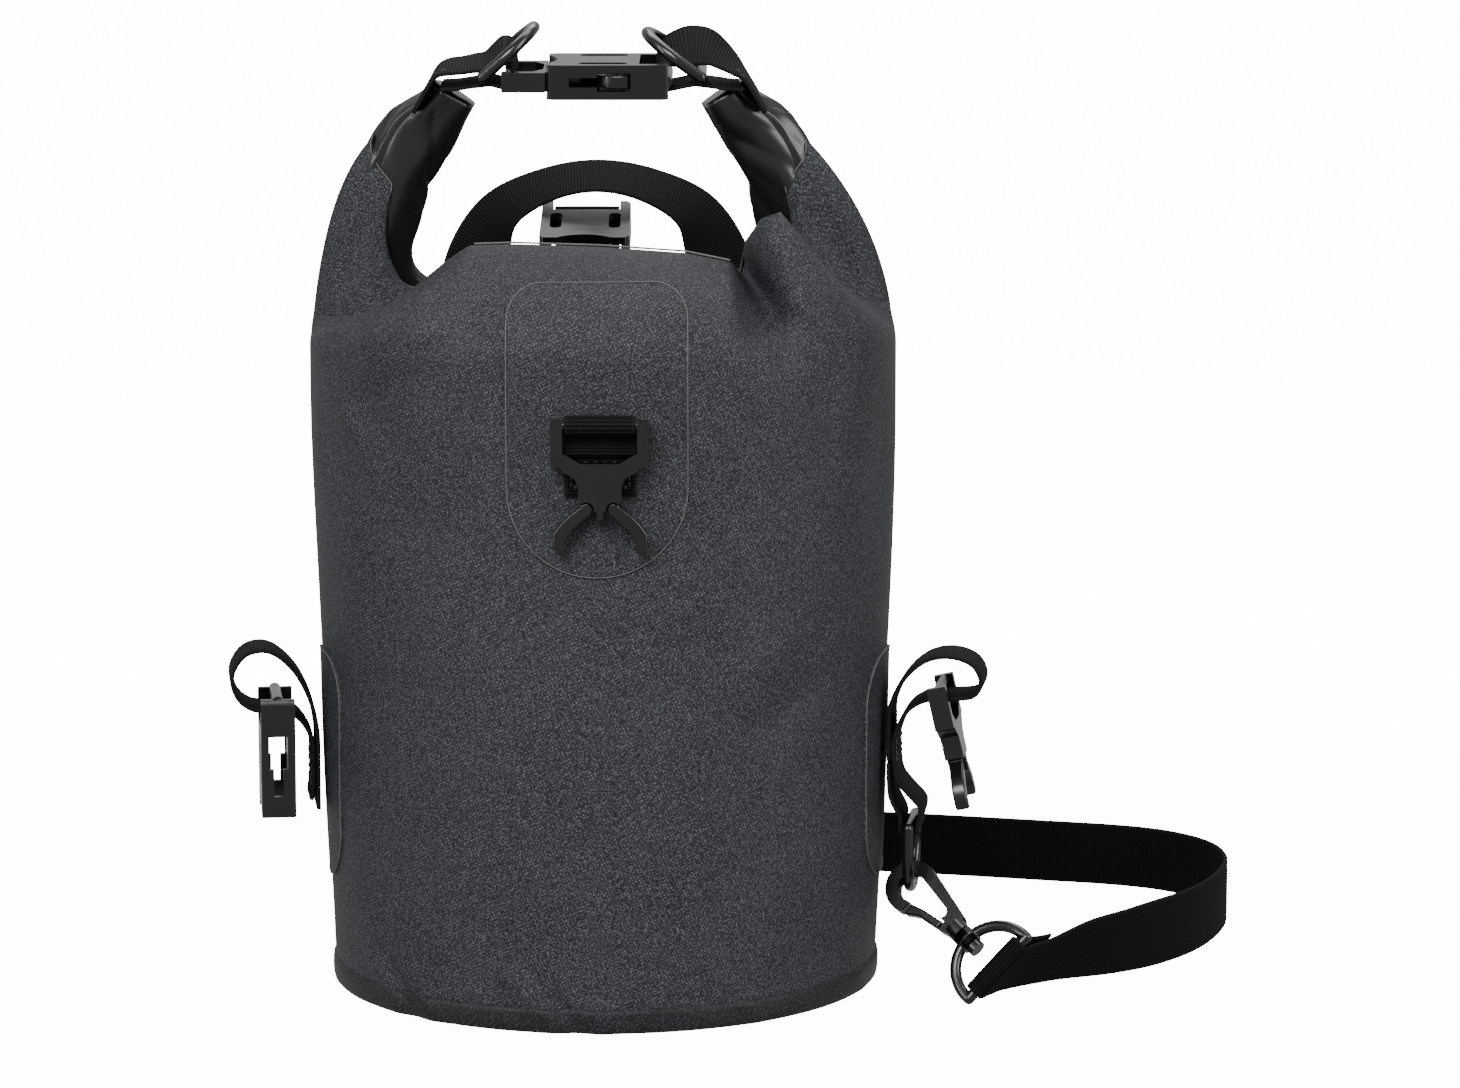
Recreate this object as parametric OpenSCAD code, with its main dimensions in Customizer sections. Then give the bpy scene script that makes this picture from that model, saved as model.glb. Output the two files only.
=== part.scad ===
// Roll-top rope storage bag: a coated fabric tube with a welded base, whose rolled top is
// bent into a U and buckled tip to tip, with webbing tabs, D-rings, side release buckles and
// a shoulder strap that is clipped to the side with a swivel snap hook.
// Millimetres. The origin is the centre of the base, on the floor. The front faces -Y.

/* [Bag] */
// Radius of the round base
base_r = 100; // [97:0.5:102]
// Half of the bag's width at the shoulder
shoulder_a = 107; // [105:0.5:109]
// Half of the bag's depth at the shoulder
shoulder_b = 93; // [91:0.5:95]
// Height of the shoulder, where the fabric starts to fold
shoulder_z = 235; // [230:1:238]
// Thickness of the coated fabric
fabric_t = 1.6; // [1.2:0.1:1.8]

/* [Rolled top] */
// Height of the middle of the roll
roll_z = 246; // [244:1:248]
// Distance of the roll behind the bag's centre line
roll_y = 22; // [18:1:26]
// Radius of the roll
roll_r = 11; // [9:0.5:12]
// Height at which the movable left end begins
split_z = 304; // [302:1:306]

/* [Webbing] */
// Width of all the webbing
web_w = 25; // [24:0.1:25.2]
// Thickness of the webbing
web_t = 1.6; // [1.4:0.1:1.8]

/* [Buckles] */
// Half width of a side release buckle
buckle_hw = 17; // [16.8:0.1:17.5]
// Length of a female half
female_len = 45; // [44:0.5:46]
// Thickness of a female half
female_t = 12.4; // [12:0.1:12.8]
// Length of a male half's prongs beyond the parting line
prong_reach = 30; // [29:0.5:30.5]

/* [Rings and hook] */
// Radius of the rod of a D-ring
ring_rod = 2.1; // [1.9:0.1:2.2]
// Radius of a D-ring's bow at the middle of the rod
ring_r = 15; // [14.8:0.1:15.4]
// Length of a D-ring's straight legs
ring_leg = 9; // [8:0.5:10]

/* [Hidden] */

fabric_c = "#34363b";
patch_c = "#3c3e43";
web_c = "#1a1a1c";
plastic_c = "#0e0e10";

GAP = 0.3;
AROUND = 48;            // points round the bag
PATCH_T = 0.8;
HEM_H = 9;
HEM_T = 2;
LIFT = 2;               // thickness of the base disc
ROD_FN = 32;

// ---------------------------------------------------------------- helpers
function unit(v) = v / norm(v);
function mix(a, b, t) = a + (b - a) * t;
function ease(t) = t * t * (3 - 2 * t);
function tangent(p, i) = unit(p[min(i + 1, len(p) - 1)] - p[max(i - 1, 0)]);
function arc(c, r, a0, a1, n) =
  [for (i = [0:n]) c + r * [cos(mix(a0, a1, i / n)), sin(mix(a0, a1, i / n))]];

// A smooth curve through hand-placed points, k steps in each span
function catmull(a, b, c, d, t) =
  0.5 * (2 * b + (c - a) * t + (2 * a - 5 * b + 4 * c - d) * t * t
    + (3 * b - a - 3 * c + d) * t * t * t);
function curve(p, k) = let (n = len(p)) concat(
  [for (i = [0:n - 2], j = [0:k - 1])
    catmull(p[max(i - 1, 0)], p[i], p[i + 1], p[min(i + 2, n - 1)], j / k)],
  [p[n - 1]]);

// The faces of a closed tube through rows of n points. The last row is closed by one flat face,
// or, where it is pressed flat, by a seam between its two sides.
function wall_faces(rows, n) = [for (i = [0:rows - 2], j = [0:n - 1]) let (k = (j + 1) % n)
  each [[i * n + j, (i + 1) * n + k, i * n + k], [i * n + j, (i + 1) * n + j, (i + 1) * n + k]]];
function end_face(rows, n) = [[for (j = [n - 1:-1:0]) (rows - 1) * n + j]];
function seam_faces(rows, n) = let (o = (rows - 1) * n) [for (j = [0:n / 2 - 1])
  each [if (j > 0) [o + j + 1, o + j, o + (n - j) % n],
    if (j < n / 2 - 1) [o + j + 1, o + (n - j) % n, o + n - j - 1]]];
module skin(rings, seam = false) {
  n = len(rings[0]);
  rows = len(rings);
  polyhedron([for (r = rings) each r], concat([[for (j = [0:n - 1]) j]], wall_faces(rows, n),
    seam ? seam_faces(rows, n) : end_face(rows, n)));
}

// A strip of webbing along 3D points; dirs gives the direction of its width at each point
module ribbon(pts, dirs, w = web_w, t = web_t) {
  skin([for (i = [0:len(pts) - 1]) let (
      along = tangent(pts, i),
      up = unit(cross(along, dirs[i])),
      side = unit(cross(up, along)))
    [pts[i] - side * w / 2 - up * t / 2, pts[i] + side * w / 2 - up * t / 2,
      pts[i] + side * w / 2 + up * t / 2, pts[i] - side * w / 2 + up * t / 2]]);
}

// A strip of thickness t along 2D points. Its steps are joined one by one, so that the end of
// a loop may lie against its start.
JOIN = 0.01;
function side_of(p, t) = [for (i = [0:len(p) - 1]) let (d = tangent(p, i)) p[i] + t / 2 * [-d.y, d.x]];
module strip(p, t = web_t) {
  left = side_of(p, t);
  right = side_of(p, -t);
  offset(delta = JOIN) for (i = [0:len(p) - 2]) {
    polygon([left[i], left[i + 1], right[i + 1], right[i]]);
  }
}
// A loop of webbing seen edge-on, in the XZ plane, and as wide as the webbing along Y
module web_along_y(p) {
  rotate([90, 0, 0]) linear_extrude(height = web_w, center = true) strip(p);
}
module rod(r, len) {
  cylinder(r = r, h = len, center = true, $fn = ROD_FN);
}
// Moves the local axes to o, with x, y and z as the new axes
module axes_at(o, x, y, z) {
  multmatrix([[x.x, y.x, z.x, o.x], [x.y, y.y, z.y, o.y], [x.z, y.z, z.z, o.z], [0, 0, 0, 1]]) children();
}

// ---------------------------------------------------------------- fabric shape
// Half width and half depth of the bag at height z
function body_a(z) = mix(base_r, shoulder_a, ease(min(1, z / 215))) + 1.2 * sin(min(180, z * 1.5));
function body_b(z) = mix(base_r, shoulder_b, ease(min(1, z / 215)));

// The roll's centre line: straight in the middle, then bent up at both ends
ROLL_X0 = -5;
ROLL_STRAIGHT = 50;
BEND_R = 24;
BEND_A = 95;
LEAN_R = 150;
LEAN_A = 27;
BEND_LEN = BEND_R * BEND_A * PI / 180;
LEAN_LEN = LEAN_R * LEAN_A * PI / 180;
ROLL_HALF = ROLL_STRAIGHT + BEND_LEN + LEAN_LEN;
function roll_half_xz(s) =
  s <= ROLL_STRAIGHT ? [s, 0] :
  s <= ROLL_STRAIGHT + BEND_LEN ?
    let (a = (s - ROLL_STRAIGHT) / BEND_R * 180 / PI)
    [ROLL_STRAIGHT + BEND_R * sin(a), BEND_R * (1 - cos(a))] :
    let (a = BEND_A + (s - ROLL_STRAIGHT - BEND_LEN) / LEAN_R * 180 / PI)
    [ROLL_STRAIGHT + BEND_R * sin(BEND_A) + LEAN_R * (sin(a) - sin(BEND_A)),
      BEND_R * (1 - cos(BEND_A)) + LEAN_R * (cos(BEND_A) - cos(a))];
// The ends of the roll lean towards the front
TIP_Y = -16;
function roll_at(s) = let (p = roll_half_xz(abs(s)), k = ease(min(1, abs(s) / ROLL_HALF)))
  [ROLL_X0 + sign(s) * p.x, mix(roll_y, TIP_Y, k), roll_z + p.y];
function roll_radius(s) = roll_r * (1 - 0.35 * pow(abs(s) / ROLL_HALF, 3));

// A point of the fabric at angle a round the bag; t runs from the shoulder (0) to the roll (1)
function hermite(a, ta, b, tb, t) = (2 * t * t * t - 3 * t * t + 1) * a + (t * t * t - 2 * t * t + t) * ta
  + (3 * t * t - 2 * t * t * t) * b + (t * t * t - t * t) * tb;
function fabric_point(a, t, off) = let (
    front = sin(a) <= 0,
    share = front ? (a + 90) / 90 : (90 - a) / 90,
    s = share * ROLL_HALF,
    depth = max(0.6, (roll_radius(s) - 2) * sqrt(max(0, 1 - pow(abs(share), 4))) + off),
    start = [(shoulder_a + off) * cos(a), (shoulder_b + off) * sin(a), shoulder_z],
    end = roll_at(s) + [0, front ? -depth : depth, 0],
    mid = 1 - abs(share),
    rise = [0, 0, mix(40, front ? 105 : 50, mid)],
    enter = front ? [0, 60 * mid, mix(30, -50, mid)] : [0, -40 * mid, mix(30, 8, mid)])
  hermite(start, rise, end, enter, t) + [0, 0, 1.6 * off * ease(min(1, 2.5 * t))];
TOP_STEPS = 9;
BODY_Z = [0, 20, 45, 75, 110, 150, 190, 215];
function turn(i) = -180 + 360 * i / AROUND;
function body_ring(z, off) = [for (i = [0:AROUND - 1])
  [(body_a(z) + off) * cos(turn(i)), (body_b(z) + off) * sin(turn(i)), z]];
// The whole outer form of the fabric, grown by off; low is the height of its first ring
module fabric_form(off, low = 0) {
  skin(concat(
    [body_ring(low, off)],
    [for (z = BODY_Z) if (z > low) body_ring(z, off)],
    [for (k = [0:TOP_STEPS])
      [for (i = [0:AROUND - 1]) fabric_point(turn(i), k / TOP_STEPS, off)]]), seam = true);
}
module roll_form() {
  steps = 44;
  sides = 14;
  reach = ROLL_HALF + 0.7;
  skin([for (i = [0:steps]) let (
      s = mix(-reach, reach, i / steps),
      d = unit(roll_at(s + 0.5) - roll_at(s - 0.5)),
      out = unit(cross([0, 1, 0], d)),
      back = cross(d, out),
      r = roll_radius(s))
    [for (j = [0:sides - 1]) roll_at(s) + r * (cos(360 * j / sides) * out + sin(360 * j / sides) * back)]]);
}
// Cuts between fabric forms are made on their facets
module faceted() {
  resize([0, 0, 0]) children();
}
module slab(z0, z1, size = 300) {
  translate([-size / 2, -size / 2, z0]) cube([size, size, z1 - z0]);
}
// The region of the movable end of the roll, on the left
module left_end_region(z0) {
  translate([-150, -100, z0]) cube([120, 200, 100]);
}

module bag_tube() {
  color(fabric_c) faceted() intersection() {
    difference() {
      fabric_form(0);
      fabric_form(-fabric_t, -1);
    }
    slab(-2, shoulder_z);
  }
}
// The folded top: hollow up to where its walls come together, then rolled
HOLLOW_TOP = 256;
module bag_top() {
  color(fabric_c) faceted() difference() {
    union() {
      difference() {
        fabric_form(0);
        intersection() {
          fabric_form(-fabric_t, -1);
          slab(-2, HOLLOW_TOP);
        }
      }
      roll_form();
    }
    slab(-2, shoulder_z);
    left_end_region(split_z);
  }
}
module left_roll_end() {
  color(fabric_c) faceted() intersection() {
    union() {
      roll_form();
      fabric_form(0);
    }
    left_end_region(split_z + GAP);
  }
}
module base_disc() {
  color(fabric_c) cylinder(r = base_r - fabric_t - 0.4, h = LIFT, $fn = 64);
}
module base_hem() {
  color(patch_c) difference() {
    cylinder(r = base_r + HEM_T, h = HEM_H, $fn = 64);
    translate([0, 0, -1]) cylinder(r = base_r + 0.4, h = HEM_H + 2, $fn = 64);
  }
}

// ---------------------------------------------------------------- welded patches
SIDE_YAW = 8;           // the side webs sit a little in front of the bag's widest line
module hug() {
  color(patch_c) faceted() intersection() {
    difference() {
      fabric_form(PATCH_T);
      fabric_form(0, -1);
    }
    children();
  }
}
module rounded(w, h, r_low, r_high) {
  hull() {
    for (x = [-1, 1]) {
      translate([x * (w / 2 - r_low), r_low]) circle(r = r_low, $fn = 32);
      translate([x * (w / 2 - r_high), h - r_high]) circle(r = r_high, $fn = 32);
    }
  }
}
FRONT_PATCH_Z = 161;
module front_patch() {
  hug() translate([0, -20, FRONT_PATCH_Z]) rotate([90, 0, 0])
    linear_extrude(height = 120) rounded(63, 106, 31, 12);
}
module back_patch() {
  hug() translate([ROLL_X0, 140, 188]) rotate([90, 0, 0])
    linear_extrude(height = 100) rounded(136, 46, 12, 12);
}
module side_patch(turned) {
  hug() rotate([0, 0, turned]) translate([40, 0, 41]) rotate([90, 0, 90])
    linear_extrude(height = 90) rounded(52, 83, 20, 20);
}
module right_patch() {
  side_patch(-SIDE_YAW);
}
module left_patch() {
  side_patch(180 + SIDE_YAW);
}

// ---------------------------------------------------------------- side release buckle
// Local axes: x across the width, y through the thickness, z from the male half's web bar
// to the female half's web bar. z = 0 is the line where the halves meet.
BAR_R = 1.7;
MALE_BAR_Z = -14.3;
FEMALE_BAR_Z = female_len - 2.4;
FEMALE_BAR_R = 2.2;
PIVOT = [4.7, 14.5];    // where a prong bends, in x and z
PIVOT_R = 2.3;
PRONG_T = 5;
FRAME_T = 7;
WEB_SLOT = web_w + 0.8;
module plate(t) {
  rotate([90, 0, 0]) linear_extrude(height = t, center = true) children();
}
// A frame for the web, and a waist that carries two bending prongs
module male_buckle() {
  rail = WEB_SLOT / 2;
  color(plastic_c) difference() {
    union() {
      for (x = [-1, 1]) {
        translate([x * (rail + buckle_hw) / 2, 0, -9.3])
          cube([buckle_hw - rail, FRAME_T, 13.4], center = true);
      }
      translate([0, 0, MALE_BAR_Z]) rotate([0, 90, 0]) rod(BAR_R, 2 * buckle_hw - 1);
      plate(FRAME_T) polygon([[-buckle_hw, -5], [-rail, -5], [-6.5, -1.4], [6.5, -1.4], [rail, -5],
        [buckle_hw, -5], [buckle_hw, -0.4], [14, -0.4], [13, 1.2], [8.6, 3.8], [7.5, 7], [7.5, 13.5],
        [2.6, 18], [-2.6, 18], [-7.5, 13.5], [-7.5, 7], [-8.6, 3.8], [-13, 1.2], [-14, -0.4],
        [-buckle_hw, -0.4]]);
    }
    // sockets in which the prongs bend
    for (x = [-1, 1]) {
      translate([x * PIVOT.x, 0, PIVOT.y]) rotate([90, 0, 0]) rod(PIVOT_R + GAP, FRAME_T + 2);
      plate(FRAME_T + 2) polygon([[x * 1.1, 15.2], [x * PIVOT.x, PIVOT.y], [x * 6.6, 12.4], [x * 14, 8],
        [x * 14, 22], [x * 1.1, 22]]);
    }
  }
}
module male_prong(side) {
  color(plastic_c) union() {
    translate([side * PIVOT.x, 0, PIVOT.y]) rotate([90, 0, 0]) rod(PIVOT_R, PRONG_T);
    plate(PRONG_T) polygon([[side * 3.6, 16.4], [side * 6.7, 13.5], [side * 10.6, 16.4], [side * 13.8, 19.6],
      [side * 16.4, 23], [side * 16.4, 28], [side * 15, prong_reach], [side * 12.6, prong_reach],
      [side * 12.2, 26], [side * 9.4, 21.6], [side * 6, 18.4]]);
  }
}
// A flat box that is open at the mouth, with two slots through its faces, a window in each
// side and a bar for the web
module female_buckle() {
  wall = 2.5;
  socket_end = prong_reach + 1.4;
  color(plastic_c) union() {
    difference() {
      plate(female_t) polygon([[-buckle_hw + 1.5, 0], [buckle_hw - 1.5, 0], [buckle_hw, 2.5],
        [buckle_hw, female_len - 4], [buckle_hw - 1.6, female_len - 1.6],
        [-buckle_hw + 1.6, female_len - 1.6],
        [-buckle_hw, female_len - 4], [-buckle_hw, 2.5]]);
      // socket for the prongs
      translate([0, 0, socket_end / 2 - 1])
        cube([2 * (buckle_hw - wall), 2 * 3.8, socket_end + 2], center = true);
      // arched lip of the mouth
      translate([0, 0, -13]) rotate([90, 0, 0]) cylinder(r = 16.5, h = female_t + 2, center = true, $fn = 64);
      for (x = [-1, 1]) {
        // side windows: narrow towards the mouth, wide where the prongs lock
        translate([x * buckle_hw, 0, 15]) cube([2 * wall + 2, 3.4, 14], center = true);
        translate([x * buckle_hw, 0, 24]) cube([2 * wall + 2, 2 * 3.4, 12], center = true);
        // slots through the faces
        translate([x * 11.2, 0, 20]) cube([4.4, female_t + 2, 13], center = true);
        for (z = [13.5, 26.5]) {
          translate([x * 11.2, 0, z]) rotate([90, 0, 0]) rod(2.2, female_t + 2);
        }
      }
      // slot for the web, open at the end
      translate([0, 0, 40]) cube([WEB_SLOT, female_t + 2, 14], center = true);
    }
    translate([0, 0, FEMALE_BAR_Z]) rotate([0, 90, 0]) rod(FEMALE_BAR_R, 2 * buckle_hw - 3);
  }
}

// ---------------------------------------------------------------- D-rings
// The straight bar lies along local x at the origin, and the bow hangs towards -z
module d_ring() {
  color(plastic_c) union() {
    rotate([0, 90, 0]) rod(ring_rod, 2 * ring_r);
    for (x = [-1, 1]) {
      translate([x * ring_r, 0, -ring_leg / 2]) rod(ring_rod, ring_leg);
      translate([x * ring_r, 0, 0]) sphere(r = ring_rod, $fn = ROD_FN);
    }
    translate([0, 0, -ring_leg]) rotate([90, 180, 0]) rotate_extrude(angle = 180, $fn = 48)
      translate([ring_r, 0]) circle(r = ring_rod, $fn = ROD_FN);
  }
}

// ---------------------------------------------------------------- closure on top
TOP_Y = -18;
TOP_Z = 332;
TOP_TILT = 6;
PARTING_X = -19.2;
// Local buckle axes on the top closure: width along Y, thickness up, prongs to +X
module on_top() {
  translate([PARTING_X, TOP_Y, TOP_Z]) rotate([TOP_TILT, 0, 0]) rotate([90, 0, 90]) children();
}
LEFT_RING_X = -41.8;
RIGHT_RING_X = 35.8;
RING_DZ = 1.6;          // the rings' bars lie this much above the buckle's middle
LEFT_RING_RISE = 42;
RIGHT_RING_RISE = 36;
// A strip in the closure's own plane: along X, width along Y, tilted with the buckle
module on_closure() {
  translate([0, TOP_Y, TOP_Z]) rotate([TOP_TILT, 0, 0]) children();
}
module bar_hole(x, z, r) {
  translate([x, 0, z]) rotate([90, 0, 0]) rod(r + GAP, web_w + 2);
}
module bar_wrap(x, z, r) {
  translate([x, 0, z]) rotate([90, 0, 0]) rod(r + GAP + web_t, web_w);
}
module tail(ring_x, bar_x, bar_r, end) {
  color(web_c) on_closure() difference() {
    union() {
      bar_wrap(ring_x, RING_DZ, ring_rod);
      bar_wrap(bar_x, 0, bar_r);
      rotate([90, 0, 0]) linear_extrude(height = web_w, center = true)
        strip(end, 2 * web_t);
      rotate([90, 0, 0]) linear_extrude(height = web_w, center = true)
        strip([[ring_x, RING_DZ], [bar_x, 0]], 2 * web_t);
    }
    bar_hole(ring_x, RING_DZ, ring_rod);
    bar_hole(bar_x, 0, bar_r);
  }
}
MALE_BAR_X = PARTING_X + MALE_BAR_Z;
FEMALE_BAR_X = PARTING_X + FEMALE_BAR_Z;
module left_tail() {
  tail(LEFT_RING_X, MALE_BAR_X, BAR_R,
    [[LEFT_RING_X, RING_DZ], [LEFT_RING_X - 6, RING_DZ - 0.5], [LEFT_RING_X - 10, -2.2]]);
}
module right_tail() {
  tail(RIGHT_RING_X, FEMALE_BAR_X, FEMALE_BAR_R,
    [[RIGHT_RING_X, RING_DZ], [RIGHT_RING_X + 3.2, RING_DZ - 0.4], [RIGHT_RING_X + 4.8, 0.4]]);
}
module top_male_buckle() {
  on_top() male_buckle();
}
module top_male_prong_front() {
  on_top() male_prong(-1);
}
module top_male_prong_rear() {
  on_top() male_prong(1);
}
module top_female_buckle() {
  on_top() female_buckle();
}
// side = -1 leans to +X over the buckle from the left, 1 leans to -X from the right
module top_ring(x, side, rise) {
  on_closure() translate([x, 0, RING_DZ]) rotate([0, side * (rise - 90), 0]) rotate([0, 180, 90]) d_ring();
}
module left_top_d_ring() {
  top_ring(LEFT_RING_X, -1, LEFT_RING_RISE);
}
module right_top_d_ring() {
  top_ring(RIGHT_RING_X, 1, RIGHT_RING_RISE);
}

// ---------------------------------------------------------------- front tab and its male half
FRONT_X = 1.3;
FRONT_BAR_Z = 215;
FRONT_FACE_Y = -(body_b(FRONT_BAR_Z) + PATCH_T);
FRONT_BAR_Y = FRONT_FACE_Y - 5.7;
module on_front() {
  translate([FRONT_X, FRONT_BAR_Y, FRONT_BAR_Z + MALE_BAR_Z]) rotate([180, 0, 0]) children();
}
module front_tab() {
  loop_r = BAR_R + GAP + web_t / 2;
  bar = [FRONT_BAR_Y, FRONT_BAR_Z];
  flat_y = FRONT_FACE_Y - web_t / 2 - 0.2;
  color(web_c) translate([FRONT_X, 0, 0]) rotate([90, 0, 90])
    linear_extrude(height = web_w, center = true) union() {
      strip([[-(body_b(192) + PATCH_T) - web_t / 2 - 0.2, 192], [flat_y, 206],
        [flat_y, 213], for (q = arc(bar, loop_r, 20, 262, 12)) q, [flat_y - web_t * 0.7, 210.6]]);
    }
}
module front_male_buckle() {
  on_front() male_buckle();
}
module front_male_prong_left() {
  on_front() male_prong(-1);
}
module front_male_prong_right() {
  on_front() male_prong(1);
}

// ---------------------------------------------------------------- rear strap and its female half
REAR_X = ROLL_X0 - 4;
REAR_TILT = 15;
REAR_BAR = [96, 274.4];   // Y and Z of the bar
module on_rear() {
  translate([REAR_X, REAR_BAR.x, REAR_BAR.y]) rotate([REAR_TILT, 0, 0]) rotate([-90, 0, 0])
    translate([0, 0, -FEMALE_BAR_Z]) children();
}
module rear_female_buckle() {
  on_rear() female_buckle();
}
module rear_strap() {
  loop_r = FEMALE_BAR_R + GAP + web_t / 2;
  back_y = body_b(215) + PATCH_T + web_t / 2 + 0.2;
  color(web_c) translate([REAR_X, 0, 0]) rotate([90, 0, 90])
    linear_extrude(height = web_w, center = true)
    strip(curve([[back_y + 0.5, 200], [back_y, 215], [back_y + 0.6, 236], [back_y + 4, 256],
      for (q = arc(REAR_BAR, loop_r, 5, 190, 6)) q, [back_y + 0.8, 266], [back_y + 1.6, 258]], 2));
}

// ---------------------------------------------------------------- carrying handle
HANDLE_L = ROLL_X0 - 49;
HANDLE_R = ROLL_X0 + 49;
HANDLE_FOOT_Z = 234;
HANDLE_Y = body_b(215) + PATCH_T + web_t / 2 + 0.4;
HANDLE_TURN = 1.2;      // room at the line where the arch bends away from its sewn feet
module handle() {
  mid = (HANDLE_L + HANDLE_R) / 2;
  crest = [0, 0.9, 0.42];
  pts = [[HANDLE_L, HANDLE_Y, HANDLE_FOOT_Z + HANDLE_TURN], [HANDLE_L, HANDLE_Y + 0.5, 246],
    [HANDLE_L + 3, HANDLE_Y + 1.5, 260], [HANDLE_L + 12, HANDLE_Y - 0.5, 277],
    [HANDLE_L + 30, HANDLE_Y - 2.5, 287], [mid, HANDLE_Y - 3, 290.4], [HANDLE_R - 30, HANDLE_Y - 2.5, 287],
    [HANDLE_R - 12, HANDLE_Y - 0.5, 277], [HANDLE_R - 3, HANDLE_Y + 1.5, 260],
    [HANDLE_R, HANDLE_Y + 0.5, 246], [HANDLE_R, HANDLE_Y, HANDLE_FOOT_Z + HANDLE_TURN]];
  dirs = [[-1, 0, 0], [-1, 0.05, 0], [-0.9, 0.3, 0.1], [-0.55, 0.75, 0.35], [-0.2, 0.88, 0.42], crest,
    [0.2, 0.88, 0.42], [0.55, 0.75, 0.35], [0.9, 0.3, 0.1], [1, 0.05, 0], [1, 0, 0]];
  color(web_c) ribbon(curve(pts, 3), curve(dirs, 3));
}
module handle_anchor(x) {
  color(web_c) translate([x, HANDLE_Y, (HANDLE_FOOT_Z + 198) / 2])
    cube([web_w, web_t, HANDLE_FOOT_Z - 198], center = true);
}
module handle_left_anchor() {
  handle_anchor(HANDLE_L);
}
module handle_right_anchor() {
  handle_anchor(HANDLE_R);
}

// ---------------------------------------------------------------- side webs
SIDE_U = 106.6;         // distance of a sewn web's middle from the bag's axis
module at_side(side) {
  rotate([0, 0, side > 0 ? -SIDE_YAW : SIDE_YAW]) mirror([side > 0 ? 0 : 1, 0, 0]) children();
}
SIDE_RING = [114, 59.5];
MALE_HANG = [124.4, 110.4];     // the right male half's bar
MALE_SLANT = 12.8;
FEMALE_HANG = [121.2, 106.6];   // the left female half's bar
module right_side_web() {
  low = web_t + 0.2;
  wrap = ring_rod + GAP + web_t / 2;
  upper = [[SIDE_U, 88], [SIDE_U, 96], [107, 104], [111.5, 113.5], [119, 120.6], [128, 122.8],
    [136.5, 120.2], [140, 114], [137.6, 108.6], MALE_HANG + [6.6, -3],
    MALE_HANG - [0, BAR_R + GAP + web_t / 2 + 0.4],
    MALE_HANG + [-6, -4.4], [112.5, 101.5], [SIDE_U + low, 92], [SIDE_U + low, 84], [109.6, 77], [114, 71.5],
    [118.2, 66.5]];
  color(web_c) at_side(1) web_along_y(concat(curve(upper, 3),
    arc(SIDE_RING, wrap, 15, -195, 10), curve([[110.6, 63.5], [107.4, 70], [SIDE_U, 77], [SIDE_U, 85]], 3)));
}
module left_side_web() {
  low = web_t + 0.2;
  pts = [[SIDE_U, 74], [SIDE_U, 84], [SIDE_U + 0.2, 95], [109.5, 107], [115.5, 118], [124, 124.6],
    [132.5, 123.4], [137.3, 116], [135.6, 107.8], [129.5, 103.2],
    FEMALE_HANG - [0, FEMALE_BAR_R + GAP + web_t / 2 + 0.3], [114, 100.4], [SIDE_U + low + 0.6, 92.5],
    [SIDE_U + low, 84], [SIDE_U + low, 74]];
  color(web_c) at_side(-1) web_along_y(curve(pts, 3));
}
// Local buckle axes at a side: width along the bag's tangent, prongs or mouth down
module hang(side, bar, slant, bar_z) {
  at_side(side) translate([bar.x, 0, bar.y]) rotate([0, -slant, 0]) rotate([180, 0, 0]) rotate([0, 0, 90])
    translate([0, 0, -bar_z]) children();
}
module right_male_buckle() {
  hang(1, MALE_HANG, MALE_SLANT, MALE_BAR_Z) male_buckle();
}
module right_male_prong_front() {
  hang(1, MALE_HANG, MALE_SLANT, MALE_BAR_Z) male_prong(1);
}
module right_male_prong_rear() {
  hang(1, MALE_HANG, MALE_SLANT, MALE_BAR_Z) male_prong(-1);
}
// The female half hangs with its mouth down, so its bar is at the top
module left_female_buckle() {
  at_side(-1) translate([FEMALE_HANG.x, 0, FEMALE_HANG.y]) rotate([0, 0, 90])
    translate([0, 0, -FEMALE_BAR_Z]) female_buckle();
}
module side_d_ring() {
  at_side(1) translate([SIDE_RING.x, 0, SIDE_RING.y]) rotate([0, 0, 90]) d_ring();
}

// ---------------------------------------------------------------- snap hook and strap
RADIAL = [cos(SIDE_YAW), -sin(SIDE_YAW), 0];
TANGENT = [sin(SIDE_YAW), cos(SIDE_YAW), 0];
UP = [0, 0, 1];
CLIP_A = 15;            // where on the ring's bow the hook pulls, in front of its lowest point
CLIP = SIDE_RING.x * RADIAL + (SIDE_RING.y - ring_leg - ring_r * cos(CLIP_A)) * UP
  - ring_r * sin(CLIP_A) * TANGENT;
EYE = [143, -47, 11.6];
HOOK_Z = unit(CLIP - EYE);
EYE_LEAN = [0.71, 0.1, 0.69];
HOOK_X = unit(EYE_LEAN - (EYE_LEAN * HOOK_Z) * HOOK_Z);
HOOK_Y = cross(HOOK_Z, HOOK_X);
REACH = norm(CLIP - EYE);
EYE_R = 15.2;
EYE_ROD = 2.1;
EYE_LEG = 1;
PIN_R = 1.9;
BOSS_Z = EYE_LEG + EYE_R;
HOOK_T = 5.4;
module on_hook() {
  axes_at(EYE, HOOK_X, HOOK_Y, HOOK_Z) children();
}
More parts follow.
